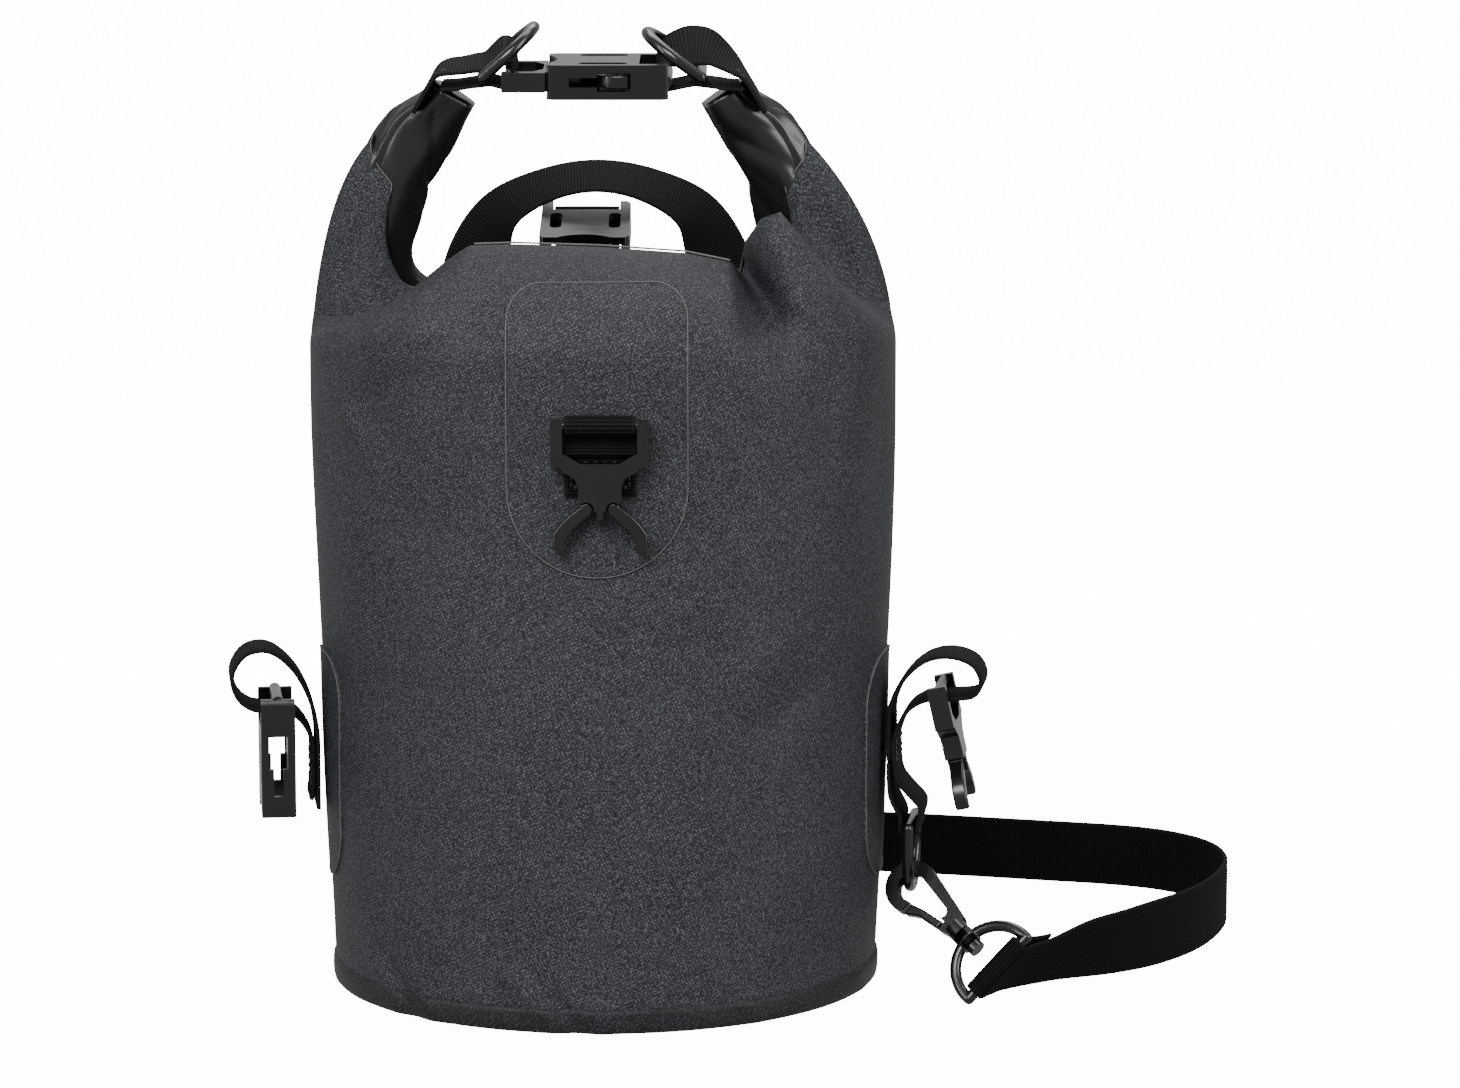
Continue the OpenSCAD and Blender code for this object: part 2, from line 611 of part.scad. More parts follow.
module swivel_eye() {
  color(plastic_c) on_hook() difference() {
    union() {
      rotate([0, 90, 0]) rod(EYE_ROD, 2 * EYE_R);
      for (x = [-1, 1]) {
        translate([x * EYE_R, 0, 0]) sphere(r = EYE_ROD, $fn = ROD_FN);
        translate([x * EYE_R, 0, EYE_LEG / 2]) rod(EYE_ROD, EYE_LEG);
      }
      translate([0, 0, EYE_LEG]) rotate([90, 0, 0]) rotate_extrude(angle = 180, $fn = 48)
        translate([EYE_R, 0]) circle(r = EYE_ROD, $fn = ROD_FN);
      translate([0, 0, BOSS_Z]) rod(4, 5.6);
    }
    translate([0, 0, BOSS_Z]) rod(PIN_R + 0.06, 8);
  }
}
JAW_Z = REACH - 1.6;    // middle of the hook's round inner end
GATE_PIVOT = [-3.2, 28.4];
module hook_outline() {
  hull() {
    translate([0, JAW_Z]) circle(r = 10, $fn = 40);
    translate([0.6, 25]) circle(r = 4.8, $fn = 32);
  }
}
module snap_hook() {
  color(plastic_c) on_hook() union() {
    difference() {
      plate_up(HOOK_T) difference() {
        hook_outline();
        hull() {
          translate([0, JAW_Z]) circle(r = 5.2, $fn = 32);
          translate([0.9, 30.5]) circle(r = 2.2, $fn = 32);
        }
        // mouth, closed by the gate
        polygon([[-1, 26.9], [-14, 24], [-14, JAW_Z - 3.6], [-1, JAW_Z - 3.6]]);
      }
    }
    translate([0, 0, 21.8]) rod(3.9, 4.6);
    translate([0, 0, BOSS_Z]) rod(PIN_R, 8);
    translate([0, 0, BOSS_Z - 4.5]) rod(3.1, 2.4);
  }
}
module plate_up(t) {
  rotate([90, 0, 0]) linear_extrude(height = t, center = true) children();
}
module snap_hook_gate() {
  color(plastic_c) on_hook() plate_up(HOOK_T - 1)
    polygon([GATE_PIVOT + [-1.5, -1.1], GATE_PIVOT + [1.7, -1.1],
    [-2.9, 36], [-4.4, JAW_Z - 4.7], [-8.8, JAW_Z - 4.7], [-8.8, JAW_Z - 5.8], [-6, 36]]);
}

// The strap is sewn round the eye's bar, stands on its edge on the floor, runs round behind
// the bag in two folds, and is sewn to the middle of the back.
STRAP_Z = web_w / 2 + 0.3;
END_RUN = [0.75, 0.65, 0];
END_PERP = unit(END_RUN - (END_RUN * HOOK_X) * HOOK_X);
END_NORMAL = cross(HOOK_X, END_PERP);
EYE_WRAP = EYE_ROD + GAP + web_t / 2;
STRAP_FLOOR = [[172, -24], [190, -10], [206, 6], [222, 28], [234, 56], [240, 84], [237, 110], [224, 131],
  [203, 144], [170, 154], [131, 165], [100, 172], [60, 175], [0, 171], [-50, 160], [-78, 146], [-84, 137],
  [-76, 129], [-50, 127], [0, 132], [40, 135], [57, 132], [62, 124], [54, 115], [28, 108],
  [0, base_r + HEM_T + web_t / 2 + 0.1]];
module shoulder_strap() {
  wrap = [for (a = [0:30:180]) EYE + EYE_WRAP * (cos(a) * END_NORMAL - sin(a) * END_PERP)];
  end = [EYE + 15 * END_RUN + 1.2 * END_NORMAL, EYE + 7 * END_RUN + 1.9 * END_NORMAL];
  out = [EYE + 7 * END_RUN - 2 * END_NORMAL, EYE + 15 * END_RUN - 1.2 * END_NORMAL];
  floor_pts = [for (p = STRAP_FLOOR) [p.x, p.y, STRAP_Z]];
  pts = concat(end, wrap, out, floor_pts);
  lean = [for (i = [0:len(pts) - 1]) let (k = min(1, max(0, (i - len(end) - len(wrap) - 1) / 3)))
    mix(HOOK_X, UP, k)];
  color(web_c) skewed_ribbon(curve(pts, 3), curve(lean, 3));
}
// As ribbon, but its edges follow dirs exactly, so the strip may lie askew round a bar
module skewed_ribbon(pts, dirs) {
  skin([for (i = [0:len(pts) - 1]) let (
      side = unit(dirs[i]) * web_w / 2,
      up = unit(cross(tangent(pts, i), dirs[i])) * web_t / 2)
    [pts[i] - side - up, pts[i] + side - up, pts[i] + side + up, pts[i] - side + up]]);
}

// ---------------------------------------------------------------- drawing
bag_tube();
bag_top();
left_roll_end();
base_disc();
base_hem();
front_patch();
back_patch();
left_patch();
right_patch();
front_tab();
left_side_web();
right_side_web();
rear_strap();
handle();
handle_left_anchor();
handle_right_anchor();
left_tail();
right_tail();
shoulder_strap();
top_male_buckle();
top_male_prong_front();
top_male_prong_rear();
top_female_buckle();
left_top_d_ring();
right_top_d_ring();
front_male_buckle();
front_male_prong_left();
front_male_prong_right();
rear_female_buckle();
left_female_buckle();
right_male_buckle();
right_male_prong_front();
right_male_prong_rear();
side_d_ring();
swivel_eye();
snap_hook();
snap_hook_gate();
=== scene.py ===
import math
import random

import bpy
import numpy as np
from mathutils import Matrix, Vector
from mathutils.bvhtree import BVHTree


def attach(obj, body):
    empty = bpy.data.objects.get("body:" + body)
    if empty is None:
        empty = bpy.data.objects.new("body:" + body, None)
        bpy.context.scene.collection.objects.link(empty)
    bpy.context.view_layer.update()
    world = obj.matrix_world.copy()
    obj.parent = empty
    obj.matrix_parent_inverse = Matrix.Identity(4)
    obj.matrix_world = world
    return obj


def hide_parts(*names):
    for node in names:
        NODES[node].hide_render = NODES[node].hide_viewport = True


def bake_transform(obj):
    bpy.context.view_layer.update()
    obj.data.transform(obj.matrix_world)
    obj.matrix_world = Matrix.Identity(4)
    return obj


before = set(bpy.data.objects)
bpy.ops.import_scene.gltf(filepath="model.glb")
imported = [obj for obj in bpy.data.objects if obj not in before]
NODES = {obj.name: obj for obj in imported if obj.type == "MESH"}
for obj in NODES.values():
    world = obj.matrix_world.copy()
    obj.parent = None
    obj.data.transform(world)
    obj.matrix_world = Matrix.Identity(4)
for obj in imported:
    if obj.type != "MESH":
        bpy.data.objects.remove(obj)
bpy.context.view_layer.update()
MM = 0.001
scene = bpy.context.scene


# ------------------------------------------------------------------ camera, floor and light
def make_camera():
    cam = bpy.data.objects.new("camera", bpy.data.cameras.new("camera"))
    scene.collection.objects.link(cam)
    cam.location = (0.0461, -1.6, 0.383)
    cam.rotation_euler = (math.radians(82.07), 0, 0)
    cam.data.lens = 108.2
    cam.data.sensor_width = 36
    cam.data.clip_start = 0.02
    scene.camera = cam


def area_light(name, place, target, size, power, colour=(1, 1, 1)):
    data = bpy.data.lights.new(name, "AREA")
    data.shape = "RECTANGLE"
    data.size = size[0]
    data.size_y = size[1]
    data.energy = power
    data.color = colour
    lamp = bpy.data.objects.new(name, data)
    scene.collection.objects.link(lamp)
    lamp.location = place
    lamp.rotation_euler = (Vector(target) - Vector(place)).to_track_quat("-Z", "Y").to_euler()
    return lamp


def make_stage():
    # a white floor that curves up all round, so that it looks the same from every side
    flat, bend, count = 3.6, 1.5, 72
    line = [(0.6, 0.0), (2.0, 0.0), (flat, 0.0)]
    line += [(flat + bend * math.sin(q), bend - bend * math.cos(q))
             for q in np.linspace(0.1, math.pi / 2, 14)]
    line.append((flat + bend, 6.0))
    turns = [2 * math.pi * k / count for k in range(count)]
    verts = [(r * math.cos(q), r * math.sin(q), z - 0.0016) for r, z in line for q in turns]
    faces = grid_faces(len(line), count) + [tuple(range(count))]
    mesh = bpy.data.meshes.new("floor")
    mesh.from_pydata(verts, [], faces)
    mesh.polygons.foreach_set("use_smooth", [True] * len(faces))
    floor = bpy.data.objects.new("floor", mesh)
    scene.collection.objects.link(floor)
    mat = bpy.data.materials.new("floor")
    mat.use_nodes = True
    shader = mat.node_tree.nodes["Principled BSDF"]
    shader.inputs["Base Color"].default_value = (0.9, 0.9, 0.9, 1)
    shader.inputs["Roughness"].default_value = 0.9
    shader.inputs["Emission Color"].default_value = (1, 1, 1, 1)
    shader.inputs["Emission Strength"].default_value = 14.0
    floor.data.materials.append(mat)
    # the bag is lit by the lamps and the world alone, so the paper can be as bright as a studio's
    floor.visible_diffuse = False
    floor.visible_glossy = False
    floor.visible_shadow = False
    world = bpy.data.worlds.new("world")
    scene.world = world
    world.use_nodes = True
    back = world.node_tree.nodes["Background"]
    back.inputs["Color"].default_value = (1, 1, 1, 1)
    back.inputs["Strength"].default_value = 0.7
    middle = (0, 0, 0.2)
    area_light("key", (-0.5, -1.9, 1.5), middle, (1.2, 1.0), 68)
    area_light("fill", (1.6, -1.3, 0.9), middle, (0.7, 1.2), 16)
    area_light("rim", (0.3, 1.3, 1.9), middle, (1.4, 0.8), 20)
    # softboxes that are only seen as highlights
    for name, place, size, power in (("gloss_top", (0.1, 0.25, 1.5), (1.8, 0.45), 16),
                                     ("gloss_left", (-1.4, -0.9, 0.7), (0.22, 1.4), 16),
                                     ("gloss_right", (1.4, -0.7, 0.7), (0.22, 1.4), 16)):
        area_light(name, place, middle, size, power).visible_diffuse = False


# ------------------------------------------------------------------ materials
class Graph:
    """A small helper that adds shader nodes and links them."""

    def __init__(self, name):
        self.mat = bpy.data.materials.new(name)
        self.mat.use_nodes = True
        self.tree = self.mat.node_tree
        self.shader = self.tree.nodes["Principled BSDF"]

    def node(self, kind, inputs=None, **values):
        n = self.tree.nodes.new(kind)
        for k, v in values.items():
            setattr(n, k, v)
        for k, v in (inputs or {}).items():
            if isinstance(v, bpy.types.NodeSocket):
                self.tree.links.new(v, n.inputs[k])
            else:
                n.inputs[k].default_value = v
        return n

    def maths(self, op, a, b=0.0):
        return self.node("ShaderNodeMath", {0: a, 1: b}, operation=op).outputs[0]

    def mix(self, factor, low, high):
        n = self.node("ShaderNodeMix", data_type="RGBA")
        self.put(n.inputs["Factor"], factor)
        n.inputs["A"].default_value = low
        n.inputs["B"].default_value = high
        return n.outputs["Result"]

    def put(self, socket, value):
        if isinstance(value, bpy.types.NodeSocket):
            self.tree.links.new(value, socket)
        else:
            socket.default_value = value

    def set(self, **inputs):
        for k, v in inputs.items():
            self.put(self.shader.inputs[k.replace("_", " ")], v)

    def bump(self, height, distance, strength=1.0):
        n = self.node("ShaderNodeBump", {"Height": height, "Distance": distance, "Strength": strength})
        return n.outputs["Normal"]


def grey(v, blue=0.0):
    return (v * (1 - blue / 2), v, v * (1 + blue), 1)


def uv_axes(g):
    uv = g.node("ShaderNodeUVMap", uv_map="mm")
    xyz = g.node("ShaderNodeSeparateXYZ", {0: uv.outputs[0]})
    return xyz.outputs[0], xyz.outputs[1], uv.outputs[0]


def wave(g, value, pitch):
    """0 to 1, once in each pitch."""
    s = g.maths("SINE", g.maths("MULTIPLY", value, 2 * math.pi / pitch))
    return g.maths("ADD", g.maths("MULTIPLY", s, 0.5), 0.5)


def coated_fabric(name, low, high, rough, weave=0.00012, pitch=1.25, gloss=0.12):
    """Coated twill: small raised floats in diagonal rows, on a slightly uneven coating."""
    g = Graph(name)
    u, v, uv = uv_axes(g)
    rows = wave(g, g.maths("ADD", u, g.maths("MULTIPLY", v, 0.5)), pitch)
    floats = wave(g, g.maths("SUBTRACT", v, g.maths("MULTIPLY", u, 0.5)), pitch)
    weave_map = g.maths("MULTIPLY", rows, floats)
    grain = g.node("ShaderNodeTexNoise", {"Vector": uv, "Scale": 0.9, "Detail": 4.0, "Roughness": 0.7})
    cloud = g.node("ShaderNodeTexNoise", {"Vector": uv, "Scale": 0.03, "Detail": 3.0})
    at = g.node("ShaderNodeTexCoord").outputs["Object"]
    fine = g.node("ShaderNodeTexNoise", {"Vector": at, "Scale": 1700.0, "Detail": 2.0, "Roughness": 0.6})
    spots = g.maths("MULTIPLY", g.maths("MAXIMUM", g.maths("SUBTRACT", fine.outputs[0], 0.44), 0.0), 6.2)
    lit = g.maths("ADD", g.maths("MULTIPLY", g.maths("POWER", weave_map, 1.6), 0.75), 0.3)
    speck = g.maths("MULTIPLY", spots, lit)
    shade = g.maths("ADD", speck, g.maths("MULTIPLY", cloud.outputs[0], 0.12))
    colour = g.mix(shade, low, high)
    relief = g.maths("ADD", g.maths("MULTIPLY", weave_map, 0.5), g.maths("MULTIPLY", fine.outputs[0], 1.1))
    normal = g.bump(g.maths("ADD", relief, g.maths("MULTIPLY", grain.outputs[0], 0.4)), weave, 0.8)
    g.put(g.shader.inputs["Base Color"], colour)
    g.put(g.shader.inputs["Normal"], normal)
    g.set(Roughness=rough)
    g.shader.inputs["Specular IOR Level"].default_value = gloss
    return g.mat


def webbing(name, low, high, pitch=1.15):
    """Ribbed webbing: ribs across its width, fine yarns along it, and a painted highlight along both edges.
    """
    g = Graph(name)
    u, v, uv = uv_axes(g)
    ribs = wave(g, v, pitch)
    yarns = wave(g, u, 0.8)
    body = g.maths("MULTIPLY", ribs, g.maths("ADD", g.maths("MULTIPLY", yarns, 0.35), 0.65))
    grain = g.node("ShaderNodeTexNoise", {"Vector": uv, "Scale": 1.6, "Detail": 3.0})
    edge = g.maths("GREATER_THAN", g.maths("ABSOLUTE", u), 11.2)
    height = g.maths("MULTIPLY", body, g.maths("SUBTRACT", 1.0, g.maths("MULTIPLY", edge, 0.6)))
    # the band along each edge is painted lighter: a painted highlight where light catches the webbing's edges
    shade = g.maths("MULTIPLY", g.maths("ADD", body, g.maths("MULTIPLY", edge, 0.3)),
                    g.maths("ADD", grain.outputs[0], 0.3))
    g.put(g.shader.inputs["Base Color"], g.mix(shade, low, high))
    g.put(g.shader.inputs["Normal"], g.bump(height, 0.00025, 0.9))
    g.set(Roughness=0.75)
    g.shader.inputs["Specular IOR Level"].default_value = 0.05
    return g.mat


def plastic(name, tone, rough, grain_size=900.0):
    g = Graph(name)
    at = g.node("ShaderNodeTexCoord").outputs["Object"]
    fine = g.node("ShaderNodeTexNoise", {"Vector": at, "Scale": grain_size, "Detail": 2.0})
    wide = g.node("ShaderNodeTexNoise", {"Vector": at, "Scale": 60.0, "Detail": 3.0})
    g.put(g.shader.inputs["Base Color"], g.mix(wide.outputs[0], grey(tone * 0.8), grey(tone * 1.2)))
    g.put(g.shader.inputs["Normal"], g.bump(fine.outputs[0], 0.00003, 0.5))
    g.put(g.shader.inputs["Roughness"],
          g.maths("ADD", g.maths("MULTIPLY", wide.outputs[0], 0.18), rough - 0.09))
    g.shader.inputs["Specular IOR Level"].default_value = 0.42
    return g.mat


def thread(name, tone):
    g = Graph(name)
    at = g.node("ShaderNodeTexCoord").outputs["Object"]
    fine = g.node("ShaderNodeTexNoise", {"Vector": at, "Scale": 2400.0, "Detail": 2.0})
    g.put(g.shader.inputs["Base Color"], g.mix(fine.outputs[0], grey(tone * 0.6), grey(tone * 1.4)))
    g.put(g.shader.inputs["Normal"], g.bump(fine.outputs[0], 0.0001, 0.8))
    g.set(Roughness=0.6)
    return g.mat


MAT = {
    "fabric": coated_fabric("fabric", grey(0.004, 0.1), grey(0.1, 0.13), 0.6),
    "hem": coated_fabric("hem", grey(0.004, 0.12), grey(0.045, 0.12), 0.5, 0.00006),
    "patch": coated_fabric("patch", grey(0.004, 0.1), grey(0.1, 0.13), 0.6),
    "liner": coated_fabric("liner", grey(0.004, 0.08), grey(0.012, 0.08), 0.3, 0.00001, 0.9, 0.4),
    "web": webbing("web", grey(0.001), grey(0.012)),
    "strap": webbing("strap", grey(0.0008), grey(0.007)),
    "plastic": plastic("plastic", 0.003, 0.24),
    "ring": plastic("ring", 0.0035, 0.22),
    "thread": thread("thread", 0.018),
    "line": thread("line", 0.07),
}


# ------------------------------------------------------------------ mesh helpers
def ease(t):
    t = min(1.0, max(0.0, t))
    return t * t * (3 - 2 * t)


def mix(a, b, t):
    return a + (b - a) * t


def step(x, a, b):
    return ease((x - a) / (b - a))


def bell(x, width):
    return math.exp(-(x / width) ** 2)


def curve(points, k):
    """A smooth curve through points, k steps in each span."""
    p = [np.array(q, float) for q in points]
    n = len(p)
    out = []
    for i in range(n - 1):
        a, b, c, d = p[max(i - 1, 0)], p[i], p[i + 1], p[min(i + 2, n - 1)]
        for j in range(k):
            t = j / k
            out.append(0.5 * (2 * b + (c - a) * t + (2 * a - 5 * b + 4 * c - d) * t * t
                              + (3 * b - a - 3 * c + d) * t ** 3))
    return out + [p[-1]]


def even(points, extra, gap):
    """The same line with points every gap mm; extra values are carried along."""
    p = np.array(points, float)
    e = np.array(extra, float)
    d = np.concatenate([[0], np.cumsum(np.linalg.norm(np.diff(p, axis=0), axis=1))])
    n = max(4, int(d[-1] / gap))
    at = np.linspace(0, d[-1], n + 1)
    return (np.stack([np.interp(at, d, p[:, i]) for i in range(3)], 1),
            np.stack([np.interp(at, d, e[:, i]) for i in range(e.shape[1])], 1), at)


def unit(v):
    return v / max(1e-12, np.linalg.norm(v))


def grid_faces(rows, n):
    return [(i * n + j, i * n + (j + 1) % n, (i + 1) * n + (j + 1) % n, (i + 1) * n + j)
            for i in range(rows - 1) for j in range(n)]


def build(name, verts, faces, mat, uvs=None):
    """A mesh from points in mm. uvs is one (u, v) in mm for each face corner."""
    mesh = bpy.data.meshes.new(name)
    mesh.from_pydata([tuple(np.array(v) * MM) for v in verts], [], faces)
    if uvs is not None:
        layer = mesh.uv_layers.new(name="mm")
        flat = [c for f in uvs for c in f]
        layer.data.foreach_set("uv", np.array(flat, np.float32).ravel())
    mesh.materials.append(MAT[mat])
    mesh.validate()
    mesh.polygons.foreach_set("use_smooth", [True] * len(mesh.polygons))
    obj = bpy.data.objects.new(name, mesh)
    scene.collection.objects.link(obj)
    return obj


def lofted(name, rings, mat, across, along, caps=True):
    """A closed tube through rings of points. across and along are the UV values in mm."""
    n = len(rings[0])
    verts = [p for r in rings for p in r]
    faces = grid_faces(len(rings), n)
    uvs = [[(across[j], along[i]), (across[j + 1], along[i]),
            (across[j + 1], along[i + 1]), (across[j], along[i + 1])]
           for i in range(len(rings) - 1) for j in range(n)]
    if caps:
        last = (len(rings) - 1) * n
        for face in (list(range(n - 1, -1, -1)), [last + j for j in range(n)]):
            faces.append(tuple(face))
            uvs.append([(across[j % n], along[0]) for j in range(n)])
    return build(name, verts, faces, mat, uvs)


WEB_W = 25.0
WEB_T = 1.6


def web_section(w, t):
    """Across the width: flat faces, a thin selvage and round edges, as (side, up)."""
    h, s = t / 2, w / 2
    half = [(-s + 1.6, 1.0), (-s + 2.4, 0.88), (-s + 3.2, 1.0), (-s / 2, 1.02), (0, 1.03), (s / 2, 1.02),
            (s - 3.2, 1.0), (s - 2.4, 0.88), (s - 1.6, 1.0), (s - 0.5, 0.9), (s - 0.05, 0.5)]
    top = [(-s + 0.05, 0.5), (-s + 0.5, 0.9)] + half
    return [(x, k * h) for x, k in top] + [(x, -k * h) for x, k in reversed(top)]


def ribbon(name, points, dirs, mat="web", w=WEB_W, t=WEB_T, steps=6, gap=1.5, skew=False):
    """Webbing along a line; dirs gives the direction of its width."""
    pts, sides, along = even(curve(points, steps), curve(dirs, steps), gap)
    section = web_section(w, t)
    rings = []
    for i in range(len(pts)):
        d = unit(pts[min(i + 1, len(pts) - 1)] - pts[max(i - 1, 0)])
        up = unit(np.cross(d, sides[i]))
        side = unit(sides[i]) if skew else unit(np.cross(up, d))
        rings.append([pts[i] + side * x + up * y for x, y in section])
    across = [x for x, _ in section] + [section[0][0]]
    return lofted(name, rings, mat, across, along)


def rod_along(name, points, radius, mat, sides=10, gap=1.0):
    pts, _, along = even(points, points, gap)
    rings = []
    up = np.array([0.13, 0.21, 0.97])
    for i in range(len(pts)):
        d = unit(pts[min(i + 1, len(pts) - 1)] - pts[max(i - 1, 0)])
        a = unit(np.cross(d, up))
        b = np.cross(d, a)
        up = unit(np.cross(a, d))
        rings.append([pts[i] + radius * (math.cos(q) * a + math.sin(q) * b)
                      for q in (2 * math.pi * k / sides for k in range(sides))])
    return lofted(name, rings, mat, list(range(sides + 1)), along)


def joined(name, objs):
    """One object from several, each with its own place in the mesh."""
    bpy.ops.object.select_all(action="DESELECT")
    for o in objs:
        o.select_set(True)
    bpy.context.view_layer.objects.active = objs[0]
    if len(objs) > 1:
        bpy.ops.object.join()
    objs[0].name = name
    objs[0].data.name = name
    return objs[0]


# ------------------------------------------------------------------ the bag's fabric
ROLL_X0 = -5.0
ROLL_STRAIGHT = 50.0
BEND_R = 24.0
BEND_A = math.radians(95)
LEAN_R = 150.0
LEAN_A = math.radians(27)
BEND_LEN = BEND_R * BEND_A
ROLL_HALF = ROLL_STRAIGHT + BEND_LEN + LEAN_R * LEAN_A      # half of the roll's length
ROLL_Z = 246.0
SHOULDER_Z = 235.0


def body_a(z):
    return mix(100, 107, ease(z / 215)) + 1.2 * math.sin(math.radians(min(180, 1.5 * z)))


def body_b(z):
    return mix(100, 93, ease(z / 215))


def roll_at(s):
    t = abs(s)
    if t <= ROLL_STRAIGHT:
        x, z = t, 0.0
    elif t <= ROLL_STRAIGHT + BEND_LEN:
        a = (t - ROLL_STRAIGHT) / BEND_R
        x, z = ROLL_STRAIGHT + BEND_R * math.sin(a), BEND_R * (1 - math.cos(a))
    else:
        a = BEND_A + (t - ROLL_STRAIGHT - BEND_LEN) / LEAN_R
        x = ROLL_STRAIGHT + BEND_R * math.sin(BEND_A) + LEAN_R * (math.sin(a) - math.sin(BEND_A))
        z = BEND_R * (1 - math.cos(BEND_A)) + LEAN_R * (math.cos(BEND_A) - math.cos(a))
    x -= 8.0 * step(t, 112, 150)
    return np.array([ROLL_X0 + math.copysign(x, s), mix(22, -16, ease(t / ROLL_HALF)), ROLL_Z + z])


def roll_radius(s):
    return 11 * (1 - 0.35 * (abs(s) / ROLL_HALF) ** 3)


AROUND = 240
ANGLES = [-180 + 360 * i / AROUND for i in range(AROUND)]


def share_of(a):
    """-1 at the left, 0 at the middle of the front or back, 1 at the right."""
    return (a + 90) / 90 if a <= 0 else (90 - a) / 90


def noise(x, y, seed):
    """Slow waves in two directions, -1 to 1."""
    r = random.Random(seed)
    total = 0
    for k in range(5):
        fx, fy, ph = r.uniform(0.5, 2.2), r.uniform(0.5, 2.2), r.uniform(0, 6.28)
        total += math.sin(x * fx + y * fy * (1 if k % 2 else -1) + ph)
    return total / 5


# Soft folds on the body: angle, height, length along and across in mm, turn, depth
BODY_FOLDS = [(-58, 128, 46, 9, 38, 1.7), (-50, 112, 34, 7, 30, -1.2), (-128, 168, 60, 12, 64, -1.8),
              (-121, 152, 50, 9, 60, 1.4), (-150, 196, 46, 10, -40, -1.6), (-143, 208, 40, 8, -36, 1.6),
              (-20, 188, 70, 14, 80, -1.4), (-32, 62, 60, 12, -24, 1.0), (-104, 96, 80, 16, 72, 0.7),
              (-160, 120, 60, 12, 85, -1.0), (40, 150, 60, 12, 60, 1.4), (75, 120, 70, 14, 100, -1.3),
              (120, 160, 60, 12, 70, 1.5), (150, 90, 60, 14, 85, -1.2), (100, 70, 50, 10, 60, 1.0)]
# Small puckers where the base was welded to the wall: angle, height, depth
PUCKERS = [(-142, 14, 2.3), (-135, 10, -2.0), (-128, 7, 1.2), (-104, 13, 2.2), (-97, 8, -2.0), (-91, 6, 1.2),
           (-60, 10, 0.9), (-25, 12, 1.0), (20, 10, 1.2), (65, 12, 1.3), (110, 9, 1.1), (160, 12, 1.2)]


def body_relief(a, z):
    """How far the wall stands out of its smooth form."""
    out = 0.4 * noise(math.radians(a) * 2.2, z / 38, 5)
    for fa, fz, length, width, turn, depth in BODY_FOLDS:
        du = ((a - fa + 180) % 360 - 180) * math.pi / 180 * 101
        dz = z - fz
        c, s = math.cos(math.radians(turn)), math.sin(math.radians(turn))
        out += depth * bell(du * c + dz * s, length / 2) * bell(-du * s + dz * c, width)
    for pa, pz, depth in PUCKERS:
        du = ((a - pa + 180) % 360 - 180) * math.pi / 180 * 101
        out += depth * bell(du + (z - pz) * 0.9, 4.5) * bell(z - pz, 9)
    return out * (1 - 0.85 * calm(a, z))


def calm(a, z):
    """1 where a sewn or welded part lies on the wall, so that the wall stays flat there."""
    front = bell(a + 90, 13) * step(z, 180, 196)
    back = bell(a - 90, 38) * step(z, 178, 196)
    side = max(bell(a + 8, 14), bell((a - 172 + 180) % 360 - 180, 14)) * bell(z - 82, 34)
    return min(1.0, front + back + side)


def body_point(a, z):
    r = math.radians(a)
    out = body_relief(a, z)
    tuck = 2.2 * bell(z, 3.2)
    p = np.array([(body_a(z) + out - tuck) * math.cos(r), (body_b(z) + out - tuck) * math.sin(r), z])
    if a < 0 and z > 170:
        p[1] += fold_depth(p[0], z) * (1 - step(abs(share_of(a)), 0.93, 1.0))
    return p


# Folds of the front above and below the shoulder: points (x, z) in mm with depth and half width.
# They press the fabric in (positive) or out (negative) along Y.
FOLDS = [
    # the hollow beside the front fold on the right
    [(49, 272, 6, 4), (51.5, 264.5, 14, 5), (55, 256, 15, 6.5), (60, 247, 11, 8), (65, 240, 5, 10)],
    # the standing pleat at the right end of the front fold
    [(46.0, 268.5, -2.5, 2.0), (46.8, 259, -3.5, 2.2), (47.4, 250, -2.0, 2.6)],
    # the soft cheek between the two hollows
    [(60, 274, -2, 6), (66, 264, -4, 7), (71, 255, -4, 8), (74, 246, -2.0, 9)],
    # under the left crease
    [(-60, 247, -3, 8), (-70, 238, -3, 9), (-84, 232, -2, 9)],
    # long soft creases that run down from the shoulders
    [(-103, 244, 2, 3), (-94, 232, 3.5, 5), (-84, 216, 3.2, 8), (-75, 198, 2.0, 10), (-70, 180, 0.8, 11)],
    [(76, 236, 1.5, 6), (80, 222, 2.4, 8), (82, 202, 1.5, 10)],
    [(95, 240, -2, 5), (92, 228, -2, 7), (90, 212, -1, 9)],
]


def fold_depth(x, z):
    total = 0.0
    for line in FOLDS:
        best = 0.0
        for (x0, z0, d0, w0), (x1, z1, d1, w1) in zip(line[:-1], line[1:]):
            ex, ez = x1 - x0, z1 - z0
            k = min(1.0, max(0.0, ((x - x0) * ex + (z - z0) * ez) / (ex * ex + ez * ez)))
            far = math.hypot(x - x0 - k * ex, z - z0 - k * ez)
            width = mix(w0, w1, k)
            if far < 3 * width:
                value = mix(d0, d1, k) * bell(far, width)
                if abs(value) > abs(best):
                    best = value
        total += best
    return total


TIP_SHARE = 0.765       # how far up the roll the outer fabric reaches
